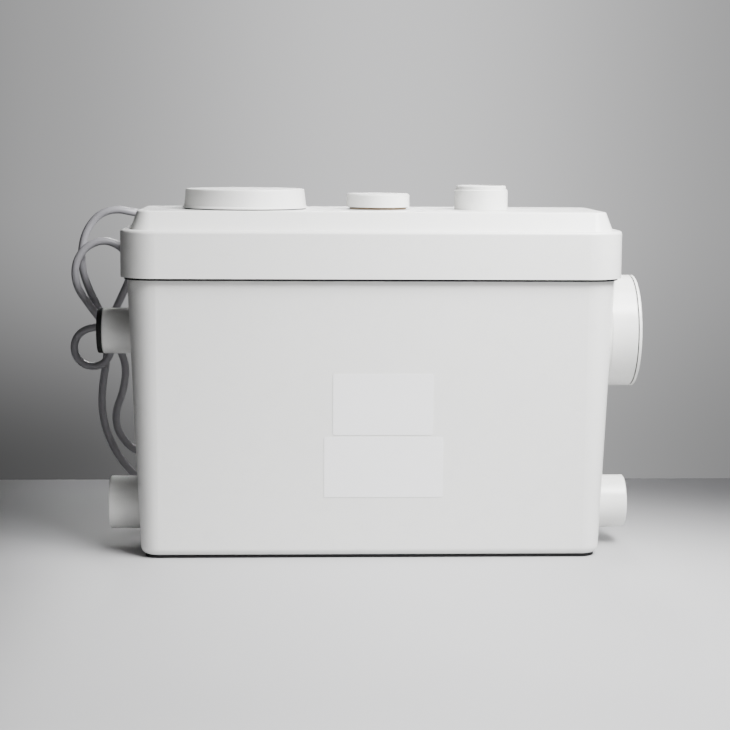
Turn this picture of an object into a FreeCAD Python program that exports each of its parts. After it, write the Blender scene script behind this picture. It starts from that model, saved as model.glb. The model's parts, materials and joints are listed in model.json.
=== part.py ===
# Sewage lifting station: a tapered tank with a skirted lid, side inlets, a top outlet, and a
# grinder pump that hangs from the lid. Millimetres, X along the tank, Y to the back, Z up.
# The origin is on the floor under the middle of the tank.
import FreeCAD, Part
import math
import os

V = FreeCAD.Vector

# Tank: a moulded box, open at the top, that widens upwards
tank_base_length = 425.0
tank_base_depth = 137.0
tank_corner = 17.0
tank_draft = 2.4  # degrees, each side
tank_wall = 3.2
tank_floor = 4.0
tank_rim_z = 296.0
tank_base_edge = 7.0
rim_lip_width = 9.0
rim_lip_thick = 4.0
rim_lip_inset = 0.5

# Rubber feet let into the tank's underside
foot_radius = 12.0
foot_stand = 2.5
foot_recess = 1.0
foot_bevel = 0.6
foot_inset_x = 36.0
foot_inset_y = 32.0

# Lid: a skirt over the rim, a ledge on the seal, and a raised top with sloping sides
lid_gap = 1.2
lid_wall = 3.0
lid_top = 3.0
lid_skirt_height = 43.0
lid_edge = 3.0
gasket_thick = 3.0
gasket_width = 6.5
plateau_rise = 17.0
plateau_inset_low = 9.5
plateau_inset_high = 16.0
plateau_corner = 28.0
plateau_edge = 2.0
rib_thick = 2.5
rib_depth = 7.0
rib_y = 38.0
rib_count = 2

# Lid screws, sunk in wells in the raised top
lid_screw_radius = 2.0
lid_screw_length = 17.0
lid_screw_head_radius = 4.4
lid_screw_head = 2.8
lid_screw_inset = 12.0
lid_screw_mid_place = 0.0988  # share of the tank's length
lid_screw_room = 4.0
well_bore = 5.2
well_wall = 2.0
well_floor = 3.0
tank_boss_radius = 5.5
tank_boss_height = 38.0
web_thick = 3.0

# Places along the tank, from its left end, as shares of its length at the base. The level tube
# stands beside the outlet.
motor_place = 0.224706
vent_place = 0.517647
outlet_place = 0.745882
level_offset = 49.5
level_y = 28.0

# Fits
glue_gap = 0.1
seat_gap = 0.3
slide_gap = 0.15
spin_gap = 0.05
press_gap = 0.02

# How near an edge lies to a place to count as being there
near_enough = 0.01

# Motor neck on the lid, and its cap
neck_bore = 46.0
neck_wall = 4.0
cap_gap = 1.0
cap_height = 17.6
cap_wall = 2.6
cap_room = 2.6
cap_taper = 2.0
cap_lip = 0.8
cap_lip_height = 2.2
cap_edge = 1.4
cap_plug_length = 15.0
cap_plug_wall = 2.4
plug_gap = 0.8
ring_width = 3.0
ring_groove = 2.0
ring_place = 0.6  # share of the plug's length, from its top

# Vent in the middle of the lid
vent_neck_radius = 24.0
vent_neck_bore = 18.0
vent_neck_drop = 6.0
vent_cap_radius = 29.5
vent_cap_height = 12.4
vent_cap_gap = 2.2
vent_cap_wall = 2.0
vent_air_gap = 3.0
vent_seal_height = 1.7
vent_seal_width = 2.4
vent_stop_width = 3.0
vent_grip_wall = 1.6
vent_slot_width = 10.0
vent_ledge = 1.6
filter_height = 9.0
filter_rise = 2.0

# Outlet pipe through the lid
outlet_radius = 25.0
outlet_bore = 20.8
outlet_height = 19.0
outlet_flange_radius = 32.0
outlet_flange = 3.5
outlet_collar = 4.0
outlet_bottom_z = 250.0
outlet_step = 0.6
ring_radius = 23.4
ring_bore = 20.0
ring_length = 12.0
ring_stand = 3.5

# Non-return valve under the outlet
seat_thick = 5.0
spigot_length = 20.0
check_flap_radius = 12.5
check_pivot_inset = 5.5
check_weight_radius = 6.9
flap_thick = 2.5
pin_radius = 1.5
knuckle_radius = 3.0

# Inlets: height of the axis, outside and inside radius, and how far the end stands out past
# the end of the tank's base
low_inlet_z = 40.0
low_inlet_radius = 25.0
low_inlet_bore = 21.5
low_inlet_stand = 32.5
high_inlet_z = 204.0
high_inlet_radius = 21.5
high_inlet_bore = 17.8
high_inlet_stand = 38.0
inlet_inside = 8.0
inlet_flange_width = 7.0
inlet_flange = 3.0
inlet_step = 0.8
inlet_edge = 1.0
inlet_clear = 1.0
inlet_flange_margin = 1.0
seal_thick = 4.8
seal_edge = 1.6
seal_inset = 0.3
seal_bore = 16.0
seal_sleeve = 12.0
ear_thick = 3.0
knuckle_width = 11.0
ear_step = 2.5
flap_boss_share = 0.6
flap_boss_height = 1.2
inlet_flange_room = 30.0

# Large inlet on the right, closed by a cap with a plug
soil_inlet_z = 205.0
soil_inlet_radius = 52.5
soil_inlet_bore = 48.5
soil_inlet_stand = 34.5
soil_cap_flange = 2.6
soil_cap_seam = 0.9
soil_seam_inset = 1.2
soil_plug_length = 15.0
soil_plug_wall = 3.0

# Motor can, hung under the lid
can_wall = 3.5
can_bottom_z = 128.0
can_floor = 6.0
can_flange_width = 8.7
can_flange = 4.0
can_screw_count = 4
can_boss_height = 12.0
can_boss_radius = 4.5
can_screw_radius = 2.0
can_screw_head_radius = 3.8
can_screw_head = 2.4
can_screw_bite = 9.0
can_edge = 2.0
can_step = 4.0
can_collar_depth = 24.0

# Motor
stator_bottom_z = 160.0
stator_length = 62.0
stator_bore = 26.4
stator_slots = 12
slot_width = 4.0
slot_depth = 9.0
air_gap = 0.4
winding_height = 13.0
winding_inner = 30.0
winding_outer = 44.0
winding_edge = 3.0
shaft_radius = 7.5
shaft_top_z = 256.0
bearing_radius = 17.5
bearing_width = 11.0
bearing_hub_wall = 4.0
bearing_groove = 2.2
bearing_groove_depth = 0.8
shield_thick = 4.0
shield_height = 18.0
shield_skirt = 4.0
shield_vents = 4
shield_vent_width = 12.0
shield_vent_inset = 8.0
hub_rise = 4.0
bearing_lift = 3.0
seal_radius = 13.0
seal_lift = 0.5
seal_groove = 2.5
shaft_slot_width = 2.0
shaft_slot_depth = 2.5
tray_thick = 2.5
tray_rise = 14.0
capacitor_radius = 15.0
capacitor_length = 58.0
capacitor_offset = 3.0
terminal_length = 34.0
terminal_depth = 14.0
terminal_height = 16.0
terminal_poles = 3
terminal_shoulder = 10.4
terminal_pole_share = 0.72
terminal_y = -16.0
terminal_screw_radius = 2.4
tray_margin = 1.0
tray_lip = 1.6
tray_lip_height = 6.0
tray_posts = 3
tray_post_radius = 3.5
tray_post_inset = 6.0
capacitor_edge = 1.2
tab_length = 7.0
tab_width = 6.0
tab_thick = 0.8
tab_offset = 5.0

# Pump under the motor
volute_depth = 30.0
volute_wall = 4.0
volute_start = 37.0
volute_step = 5.0
port_bore = 9.5
port_wall = 3.0
port_length = 64.0
port_grip = 22.0
pump_screw_inset = 5.5
pump_screw_end = 3.0
eye_radius = 17.0
impeller_radius = 33.0
impeller_disc = 3.0
vane_count = 5
vane_thick = 3.0
vane_gap = 1.0
vane_radius = 24.0
vane_shift_x = 13.2
vane_shift_y = 20.16
vane_end_y = 21.6
impeller_drop = 4.0
plate_thick = 5.0
plate_eye_step = 4.0
plate_notch_reach = 5.0
plate_notches = 6
plate_notch_width = 4.4
plate_notch_turn = 12.0
blade_reach = 26.0
blade_width = 11.0
blade_thick = 4.0
blade_gap = 1.5
blade_bevel = 2.5
blade_bevel_turn = 35.0
blade_hub = 4.5
nut_height = 8.0
nut_radius = 13.0
basket_radius = 40.0
basket_wall = 2.5
basket_height = 56.0
basket_slots = 16
basket_slot_width = 6.0
basket_slot_depth = 8.0
basket_post_height = 12.0
basket_post_radius = 4.5
basket_screw_count = 4
basket_screw_end = 1.5
basket_edge = 4.0
basket_foot_slots = 8
basket_foot_slot_from = 12.0
basket_foot_slot_to = 30.0
basket_foot_slot_width = 5.0
basket_slot_rise = 8.0
basket_slot_drop = 4.0

# Discharge hose from the pump to the valve
hose_wall = 3.5
hose_bend = 36.0
clamp_width = 9.0
clamp_thick = 1.0
clamp_inset = 5.0
clamp_box_width = 12.0
clamp_box_rise = 6.0

# Level tube and its switch
level_tube_radius = 15.0
level_tube_wall = 2.5
level_tube_foot_z = 22.0
level_cup_radius = 22.0
level_cup_wall = 2.5
level_cup_height = 32.0
level_dish_height = 14.0
membrane_thick = 1.2
plunger_radius = 4.0
plunger_travel = 2.5
plunger_length = 12.0
guide_rise = 6.5
plunger_foot = 1.5
plunger_foot_radius = 10.0
switch_length = 20.0
switch_depth = 8.0

# Supply cord
cord_radius = 3.75
gland_z = 309.0
gland_radius = 6.6
gland_thread = 5.2
relief_length = 34.0
relief_end_radius = 4.7
relief_step = 0.8
relief_rings = 3
relief_collar = 9.0
relief_taper = 3.0
relief_ring_start = 16.0
relief_ring_pitch = 5.0
relief_ring_width = 1.6
relief_shank = 6.0
cord_straight = 22.0
bend_share = 0.45  # of the shorter run at a corner
far_apart = 4  # diameters along the cord

# The cord's way, from the strain relief to the plug, through its loops at the left end
cord_route = [
    (-137, 149, 313),
    (-164, 146, 314),
    (-189, 130, 311),
    (-211, 112, 308),
    (-229, 101, 311),
    (-247, 98, 315),
    (-265, 98, 309),
    (-279, 98, 289),
    (-282, 98, 261),
    (-275, 98, 236),
    (-264, 98, 215),
    (-257, 98, 191),
    (-257, 98, 166),
    (-262, 98, 140),
    (-263, 98, 111),
    (-256, 97, 85),
    (-242, 96, 60),
    (-220, 94, 38),
    (-197, 92, 18),
    (-168, 90, 14),
    (-143, 89, 28),
    (-139, 89, 55),
    (-158, 90, 76),
    (-186, 92, 78),
    (-212, 94, 70),
    (-233, 96, 74),
    (-247, 98, 91),
    (-250, 100, 111),
    (-241, 101, 134),
    (-238, 101.5, 160),
    (-249, 102.5, 183),
    (-253, 102.5, 206),
    (-242, 99, 228),
    (-231, 93, 252),
    (-236, 86, 275),
    (-256, 82, 286),
    (-276, 80.5, 278),
    (-286, 80, 261),
    (-285, 80, 240),
    (-273, 80, 222),
    (-260, 80, 205),
    (-251, 80, 187),
    (-252, 81, 171),
    (-260.5, 82.5, 161),
    (-273, 84, 159),
    (-284, 85.5, 165),
    (-289, 87, 176),
    (-286.5, 88.5, 188.5),
    (-277, 89.5, 196.5),
    (-260, 90, 199),
    (-234, 90.5, 198),
    (-208, 93, 190),
    (-186, 96, 168),
    (-184, 99, 138),
    (-190, 102, 106),
    (-186, 105, 74),
    (-176, 107, 43),
    (-156, 109, 17),
    (-128, 110, 5),
    (-98, 111, 4.6),
    (-72, 112, 11),
    (-50, 113, 18.5),
]

# Tie round the three strands at the waist of the loops
tie_x = -252.0
tie_y = 91.3
tie_z = 178.0
tie_height = 5.0
tie_thick = 1.2
tie_width = 20.0
tie_depth = 32.0
tie_corner = 5.0

# Mains plug on the floor behind the tank
plug_x = -34.0
plug_y = 113.0
plug_radius = 18.5
plug_z = plug_radius
plug_body_length = 34.0
pin_pitch = 19.0
pin_length = 19.0
plug_pin_radius = 2.4
plug_pin_root = 3.0
plug_pin_edge = 0.8
plug_sleeve = 8.0
plug_sleeve_step = 1.5
plug_shoulder = 12.0
plug_grip = 14.0
plug_face = 10.0
plug_waist = 0.62
plug_hip = 0.78

# Sizes that follow from the ones above
tank_end_x = tank_base_length / 2
motor_x = motor_place * tank_base_length - tank_end_x
vent_x = vent_place * tank_base_length - tank_end_x
outlet_x = outlet_place * tank_base_length - tank_end_x
level_x = outlet_x - level_offset
low_inlet_reach = tank_end_x + low_inlet_stand
high_inlet_reach = tank_end_x + high_inlet_stand
soil_inlet_reach = tank_end_x + soil_inlet_stand
lid_screw_mid_x = lid_screw_mid_place * tank_base_length
draft_slope = math.tan(math.radians(tank_draft))
rim_growth = (tank_rim_z - foot_stand) * draft_slope
rim_length = tank_base_length + 2 * rim_growth
rim_depth = tank_base_depth + 2 * rim_growth
lid_length = rim_length + 2 * (lid_gap + lid_wall)
lid_depth = rim_depth + 2 * (lid_gap + lid_wall)
lid_corner = tank_corner + rim_growth + lid_gap + lid_wall
ledge_z = tank_rim_z + gasket_thick + lid_top
plateau_z = ledge_z + plateau_rise
plateau_under_z = plateau_z - lid_top
skirt_z = ledge_z - lid_skirt_height
plateau_slope = (plateau_inset_high - plateau_inset_low) / plateau_rise
neck_radius = neck_bore + neck_wall
cap_top_radius = neck_radius + cap_room + cap_wall
cap_low_radius = cap_top_radius + cap_taper
can_bore = neck_radius + seat_gap
can_radius = can_bore + can_wall
can_ring = can_radius + can_flange_width / 2
can_mouth_z = plateau_under_z - can_boss_height
hose_z = can_bottom_z - (volute_depth - volute_wall) / 2


# Builds solids that turn about Z, from a closed outline of (radius, height) points
def turned(outline, x=0.0, y=0.0):
    wire = Part.makePolygon([V(r, 0, z) for r, z in outline + outline[:1]])
    solid = Part.Face(wire).revolve(V(0, 0, 0), V(0, 0, 1), 360)
    solid.translate(V(x, y, 0))
    return solid


def tube(r_out, r_in, z0, z1, x=0.0, y=0.0):
    outer = Part.makeCylinder(r_out, z1 - z0, V(x, y, z0))
    return outer.cut(Part.makeCylinder(r_in, z1 - z0 + 2, V(x, y, z0 - 1)))


def disc(r, z0, z1, x=0.0, y=0.0):
    return Part.makeCylinder(r, z1 - z0, V(x, y, z0))


def tube_x(r_out, r_in, x0, x1, y, z):
    outer = Part.makeCylinder(r_out, x1 - x0, V(x0, y, z), V(1, 0, 0))
    return outer.cut(Part.makeCylinder(r_in, x1 - x0 + 2, V(x0 - 1, y, z), V(1, 0, 0)))


def block(x0, x1, y0, y1, z0, z1):
    return Part.makeBox(x1 - x0, y1 - y0, z1 - z0, V(x0, y0, z0))


def rounded_outline(length, depth, corner, z):
    half_x, half_y = length / 2, depth / 2
    c = math.sqrt(0.5)
    edges = []
    for sx, sy in ((1, 1), (-1, 1), (-1, -1), (1, -1)):
        centre = V(sx * (half_x - corner), sy * (half_y - corner), z)
        side = centre + V(sx * corner, 0, 0)
        end = centre + V(0, sy * corner, 0)
        middle = centre + V(sx * c * corner, sy * c * corner, 0)
        first, last = (side, end) if sx * sy > 0 else (end, side)
        edges.append(Part.Arc(first, middle, last).toShape())
    lines = []
    for k, arc in enumerate(edges):
        start = arc.Vertexes[-1].Point
        finish = edges[(k + 1) % 4].Vertexes[0].Point
        lines += [arc, Part.LineSegment(start, finish).toShape()]
    return Part.Wire(lines)


def prism(length, depth, corner, z0, z1):
    face = Part.Face(rounded_outline(length, depth, corner, z0))
    return face.extrude(V(0, 0, z1 - z0))


# The tank's outside, moved inwards by inset, from z0 to z1
def tank_form(inset, z0, z1):
    wires = []
    for z in (z0, z1):
        grow = (z - foot_stand) * draft_slope - inset
        length, depth = tank_base_length + 2 * grow, tank_base_depth + 2 * grow
        wires.append(rounded_outline(length, depth, tank_corner + grow, z))
    return Part.makeLoft(wires, True, True)


def plateau_form(inset, z0, z1):
    wires = []
    for z in (z0, z1):
        inwards = plateau_inset_low + (z - ledge_z) * plateau_slope + inset
        length, depth = lid_length - 2 * inwards, lid_depth - 2 * inwards
        wires.append(rounded_outline(length, depth, plateau_corner - inwards, z))
    return Part.makeLoft(wires, True, True)


def edges_at(solid, z):
    level = [e for e in solid.Edges if abs(e.BoundBox.ZMin - z) < near_enough]
    return [e for e in level if abs(e.BoundBox.ZMax - z) < near_enough]


def half_length_at(z):
    return tank_end_x + (z - foot_stand) * draft_slope


def lid_screw_places():
    far_x = lid_length / 2 - plateau_inset_high - lid_screw_inset
    far_y = lid_depth / 2 - plateau_inset_high - lid_screw_inset
    rows = (-far_x, -lid_screw_mid_x, lid_screw_mid_x, far_x)
    return [(x, sy * far_y) for x in rows for sy in (-1, 1)]


def can_screw_places():
    return ring_places(can_ring, can_screw_count, 45)


# Places evenly spaced round the motor's axis
def ring_places(radius, count, first=0):
    turns = [math.radians(first + 360 * k / count) for k in range(count)]
    return [(motor_x + radius * math.cos(t), radius * math.sin(t)) for t in turns]


# Every inlet: side (-1 left, 1 right), height, outside radius, bore, reach
def inlets():
    return {
        "left_low": (-1, low_inlet_z, low_inlet_radius, low_inlet_bore, low_inlet_reach),
        "right_low": (1, low_inlet_z, low_inlet_radius, low_inlet_bore, low_inlet_reach),
        "left_high": (-1, high_inlet_z, high_inlet_radius, high_inlet_bore, high_inlet_reach),
        "soil": (1, soil_inlet_z, soil_inlet_radius, soil_inlet_bore, soil_inlet_reach),
    }


def tank():
    outer = tank_form(0, foot_stand, tank_rim_z)
    outer = outer.makeFillet(tank_base_edge, edges_at(outer, foot_stand))
    body = outer.cut(tank_form(tank_wall, foot_stand + tank_floor, tank_rim_z + 1))
    lip_z = tank_rim_z - rim_lip_thick
    lip = tank_form(rim_lip_inset, lip_z, tank_rim_z)
    lip = lip.cut(tank_form(rim_lip_width, lip_z - 1, tank_rim_z + 1))
    body = body.fuse(lip)
    cavity = tank_form(tank_wall / 2, foot_stand + tank_floor, tank_rim_z)
    boss_z = tank_rim_z - tank_boss_height
    far_x = max(x for x, y in lid_screw_places())
    for x, y in lid_screw_places():
        web_end = math.copysign(rim_depth, y)
        low, high = sorted((y, web_end))
        half = web_thick / 2
        web = block(x - half, x + half, low, high, boss_z, tank_rim_z)
        if abs(x) == far_x:
            low, high = sorted((x, math.copysign(rim_length, x)))
            web = web.fuse(block(low, high, y - half, y + half, boss_z, tank_rim_z))
        boss = disc(tank_boss_radius, boss_z, tank_rim_z, x, y)
        body = body.fuse(boss.fuse(web.common(cavity)))
    for x, y in lid_screw_places():
        hole = lid_screw_length + lid_screw_room
        body = body.cut(
            disc(lid_screw_radius + glue_gap, tank_rim_z - hole, tank_rim_z + 1, x, y)
        )
    for side, z, r_out, bore, reach in inlets().values():
        hole_r = r_out - inlet_step + glue_gap
        hole = Part.makeCylinder(hole_r, reach, V(0, 0, z), V(side, 0, 0))
        body = body.cut(hole)
    for x, y in foot_places():
        pocket = disc(foot_radius + glue_gap, foot_stand - 1, foot_stand + foot_recess, x, y)
        body = body.cut(pocket)
    return body.removeSplitter()


def foot_places():
    far_x = tank_end_x - foot_inset_x
    far_y = tank_base_depth / 2 - foot_inset_y
    return [(sx * far_x, sy * far_y) for sx in (-1, 1) for sy in (-1, 1)]


def feet():
    pads = []
    for x, y in foot_places():
        pad = disc(foot_radius, 0, foot_stand + foot_recess, x, y)
        pads.append(pad.makeChamfer(foot_bevel, edges_at(pad, 0)))
    return pads


def lid_gasket():
    near = (rim_lip_width - gasket_width) / 2
    z0, z1 = tank_rim_z, tank_rim_z + gasket_thick
    outer = rim_prism(near, z0, z1)
    return outer.cut(rim_prism(near + gasket_width, z0 - 1, z1 + 1))


# The rim's outline, moved inwards
def rim_prism(inset, z0, z1):
    corner = tank_corner + rim_growth - inset
    return prism(rim_length - 2 * inset, rim_depth - 2 * inset, corner, z0, z1)


def lid():
    skirt = prism(lid_length, lid_depth, lid_corner, skirt_z, ledge_z)
    skirt = skirt.makeFillet(lid_edge, edges_at(skirt, ledge_z))
    top = plateau_form(0, ledge_z - lid_top / 2, plateau_z)
    top = top.makeFillet(plateau_edge, edges_at(top, plateau_z))
    body = skirt.fuse(top)
    hollow = 2 * lid_wall
    body = body.cut(
        prism(
            lid_length - hollow,
            lid_depth - hollow,
            lid_corner - lid_wall,
            skirt_z - 1,
            ledge_z - lid_top,
        )
    )
    body = body.cut(plateau_form(lid_top, ledge_z - lid_top - 1, plateau_under_z))
    under = plateau_form(lid_top / 2, ledge_z - lid_top, plateau_under_z + lid_top / 2)
    body = body.fuse(lid_ribs().common(under))
    for x, y in lid_screw_places():
        foot = tank_rim_z + seat_gap
        body = body.fuse(disc(well_bore + well_wall, foot, plateau_under_z + 1, x, y))
    for x, y in can_screw_places():
        body = body.fuse(disc(can_boss_radius, can_mouth_z, plateau_under_z + 1, x, y))
    neck_top = plateau_z + cap_gap + cap_height - cap_wall - seat_gap
    collar_z = plateau_under_z - can_collar_depth
    body = body.fuse(disc(neck_radius, collar_z, neck_top, motor_x))
    vent_top = plateau_z + vent_cap_gap + vent_cap_height - vent_cap_wall - vent_air_gap
    body = body.fuse(disc(vent_neck_radius, plateau_under_z - vent_neck_drop, vent_top, vent_x))
    guide = outlet_radius + lid_top
    body = body.fuse(disc(guide, plateau_under_z - outlet_collar, plateau_under_z + 1, outlet_x))
    # openings through all of it
    for x, y in lid_screw_places():
        body = body.cut(disc(well_bore, tank_rim_z + seat_gap + well_floor, plateau_z + 1, x, y))
        body = body.cut(disc(lid_screw_radius + glue_gap, tank_rim_z - 1, plateau_z, x, y))
    for x, y in can_screw_places():
        top_z = can_mouth_z + can_screw_bite + 1
        body = body.cut(disc(can_screw_radius + glue_gap, can_mouth_z - 1, top_z, x, y))
    body = body.cut(disc(neck_bore, collar_z - 1, neck_top + 1, motor_x))
    body = body.cut(disc(vent_neck_bore, filter_foot_z(), vent_top + 1, vent_x))
    neck_foot = plateau_under_z - vent_neck_drop - 1
    body = body.cut(disc(vent_neck_bore - vent_ledge, neck_foot, plateau_z, vent_x))
    body = body.cut(
        disc(outlet_radius - outlet_step + glue_gap, collar_z, plateau_z + 1, outlet_x)
    )
    way = Part.makeCylinder(gland_thread + glue_gap, lid_depth, V(motor_x, 0, gland_z), V(0, 1, 0))
    seat = Part.makeCylinder(neck_radius - 1, lid_depth, V(motor_x, 0, 0), V(0, 0, 1))
    body = body.cut(way.cut(seat))
    entry = cord_radius + slide_gap
    reach = neck_radius + 2
    body = body.cut(
        Part.makeCylinder(entry, reach, V(motor_x, 0, gland_z), V(0, 1, 0))
    )
    return body.removeSplitter()


def lid_ribs():
    x0 = outlet_x + outlet_flange_radius + rib_thick
    x1 = lid_length / 2
    z0 = plateau_under_z - rib_depth
    half = rib_thick / 2
    ribs = block(x0, x1, rib_y - half, rib_y + half, z0, plateau_z)
    ribs = ribs.fuse(block(x0, x1, -rib_y - half, -rib_y + half, z0, plateau_z))
    for k in range(rib_count):
        x = x0 + (k + 0.5) * (x1 - x0) / (rib_count + 0.5)
        ribs = ribs.fuse(block(x - half, x + half, -lid_depth, lid_depth, z0, plateau_z))
    return ribs


# A hexagon-head screw along Z, whose head bears on head_z; it points down, or up
def screw(x, y, head_z, length, r, head_r, head, down=True):
    corners = [math.radians(60 * k) for k in range(7)]
    outline = [V(x + head_r * math.cos(t), y + head_r * math.sin(t), head_z) for t in corners]
    top = Part.Face(Part.makePolygon(outline)).extrude(V(0, 0, head if down else -head))
    if down:
        return top.fuse(disc(r, head_z - length, head_z, x, y))
    return top.fuse(disc(r, head_z, head_z + length, x, y))


def lid_screws():
    head_z = tank_rim_z + seat_gap + well_floor
    size = (lid_screw_radius, lid_screw_head_radius, lid_screw_head)
    return [screw(x, y, head_z, lid_screw_length, *size) for x, y in lid_screw_places()]


# An inlet pipe through the tank's side wall. Outside, it grows to full size at a shoulder that
# stands clear of the sloping wall; inside, a flange lies on the wall.
def inlet_pipe(side, z, r_out, bore, reach, ears):
    wall_x = half_length_at(z) - tank_wall
    inner_x = wall_x - inlet_inside
    neck_r = r_out - inlet_step
    shoulder_x = half_length_at(z + r_out + inlet_clear) + glue_gap
    pipe = Part.makeCylinder(r_out, reach - shoulder_x, V(shoulder_x, 0, z), V(1, 0, 0))
    tip = [e for e in pipe.Edges if abs(e.BoundBox.XMin - reach) < near_enough]
    tip = [e for e in tip if abs(e.BoundBox.XMax - reach) < near_enough]
    pipe = pipe.makeChamfer(inlet_edge, tip)
    neck = Part.makeCylinder(neck_r, shoulder_x + 1 - inner_x, V(inner_x, 0, z), V(1, 0, 0))
    pipe = pipe.fuse(neck)
    flange_r = min(r_out + inlet_flange_width, z - foot_stand - tank_floor - inlet_flange_margin)
    room = inlet_flange_room
    ring = Part.makeCylinder(flange_r, 2 * room, V(wall_x - room, 0, z), V(1, 0, 0))
    near = tank_form(tank_wall + glue_gap, z - 2 * r_out, z + 2 * r_out)
    far = tank_form(tank_wall + glue_gap + inlet_flange, z - 2 * r_out, z + 2 * r_out)
    pipe = pipe.fuse(ring.common(near).cut(far))
    if ears:
        x, pivot_z = flap_pivot(z, r_out)
        width = knuckle_width / 2 + slide_gap
        for y in (-width - ear_thick, width):
            ear = block(inner_x, wall_x - 1, y, y + ear_thick, z + bore, pivot_z)
            ear = ear.fuse(block(x, inner_x, y, y + ear_thick, pivot_z - ear_step, pivot_z))
            eye = Part.makeCylinder(knuckle_radius, ear_thick, V(x, y, pivot_z), V(0, 1, 0))
            arm = block(x, wall_x - 1, y, y + ear_thick, pivot_z, pivot_z + knuckle_radius)
            hole = Part.makeCylinder(
                pin_radius + glue_gap, ear_thick, V(x, y, pivot_z), V(0, 1, 0)
            )
            pipe = pipe.fuse(ear.fuse(eye).fuse(arm)).cut(hole)
    pipe = pipe.cut(Part.makeCylinder(bore, reach, V(inner_x - 1, 0, z), V(1, 0, 0)))
    if side < 0:
        pipe = pipe.mirror(V(0, 0, 0), V(1, 0, 0))
    return pipe


# The pivot of an inlet's flap, on the right side: just inside the pipe's inner end, above it
def flap_pivot(z, r_out):
    inner_x = half_length_at(z) - tank_wall - inlet_inside
    return inner_x - seat_gap - flap_thick / 2, z + r_out + knuckle_radius


def inlet_flap(side, z, r_out, bore):
    x, pivot_z = flap_pivot(z, r_out)
    radius = (r_out + bore) / 2
    half = flap_thick / 2
    plate = Part.makeCylinder(radius, flap_thick, V(x - half, 0, z), V(1, 0, 0))
    tongue = block(x - half, x + half, -knuckle_width / 2, knuckle_width / 2, z, pivot_z)
    knuckle = Part.makeCylinder(
        knuckle_radius, knuckle_width, V(x, -knuckle_width / 2, pivot_z), V(0, 1, 0)
    )
    stiffener = Part.makeCylinder(
        radius * flap_boss_share,
        flap_boss_height,
        V(x - half - flap_boss_height, 0, z),
        V(1, 0, 0),
    )
    flap = plate.fuse(tongue).fuse(knuckle).fuse(stiffener)
    bore_r = pin_radius + spin_gap
    flap = flap.cut(
        Part.makeCylinder(bore_r, knuckle_width + 2, V(x, -knuckle_width / 2 - 1, pivot_z), V(0, 1, 0))
    )
    if side < 0:
        flap = flap.mirror(V(0, 0, 0), V(1, 0, 0))
    return flap


def flap_pins():
    pins = []
    length = knuckle_width + 2 * ear_thick + 2 * slide_gap
    for name, (side, z, r_out, bore, reach) in inlets().items():
        if name == "soil":
            continue
        x, pivot_z = flap_pivot(z, r_out)
        start = V(side * x, -length / 2, pivot_z)
        pins.append(Part.makeCylinder(pin_radius, length, start, V(0, 1, 0)))
    return pins


# Black rubber seal on the left high inlet's end, with a sleeve inside the pipe
def high_inlet_seal():
    x0 = high_inlet_reach
    face_r = high_inlet_radius - seal_inset
    face = tube_x(face_r, seal_bore, x0, x0 + seal_thick, 0, high_inlet_z)
    rim = [e for e in face.Edges if e.BoundBox.ZLength > 2 * face_r - near_enough]
    rim = [e for e in rim if abs(e.BoundBox.XMin - x0 - seal_thick) < near_enough]
    face = face.makeFillet(seal_edge, rim)
    sleeve_r = high_inlet_bore - glue_gap
    sleeve = tube_x(sleeve_r, seal_bore, x0 - seal_sleeve, x0, 0, high_inlet_z)
    return face.fuse(sleeve).removeSplitter().mirror(V(0, 0, 0), V(1, 0, 0))


# Flat cap with a hollow plug that slides into the large inlet
def soil_cap():
    x0 = soil_inlet_reach + soil_cap_seam
    z = soil_inlet_z
    plate = Part.makeCylinder(soil_inlet_radius, soil_cap_flange, V(x0, 0, z), V(1, 0, 0))
    rim = [e for e in plate.Edges if e.BoundBox.XLength < near_enough]
    rim = [e for e in rim if e.BoundBox.XMin > x0 + 1]
    plate = plate.makeChamfer(inlet_edge, rim)
    plug_r = soil_inlet_bore - plug_gap
    start = soil_inlet_reach - soil_plug_length
    stub = Part.makeCylinder(plug_r, x0 - start + 0.5, V(start, 0, z), V(1, 0, 0))
    middle = soil_inlet_reach - soil_plug_length / 2
    half = ring_width / 2
    stub = stub.cut(tube_x(plug_r + 2, plug_r - ring_groove, middle - half, middle + half, 0, z))
    inside = plug_r - ring_groove - soil_plug_wall
    hollow = Part.makeCylinder(inside, x0 - start, V(start - 1, 0, z), V(1, 0, 0))
    return plate.fuse(stub).cut(hollow).removeSplitter()


# The dark seam ring behind the cap's flange, and the seal in the plug's groove
def soil_cap_rings():
    z = soil_inlet_z
    x0 = soil_inlet_reach
    plug_r = soil_inlet_bore - plug_gap
    seam_r = soil_inlet_radius - soil_seam_inset
    seam = tube_x(seam_r, plug_r + glue_gap, x0 + slide_gap, x0 + soil_cap_seam, 0, z)
    middle = x0 - soil_plug_length / 2
    half = ring_width / 2 - glue_gap
    ring_in = plug_r - ring_groove
    ring = tube_x(soil_inlet_bore - seat_gap, ring_in, middle - half, middle + half, 0, z)
    return [seam, ring]


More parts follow.
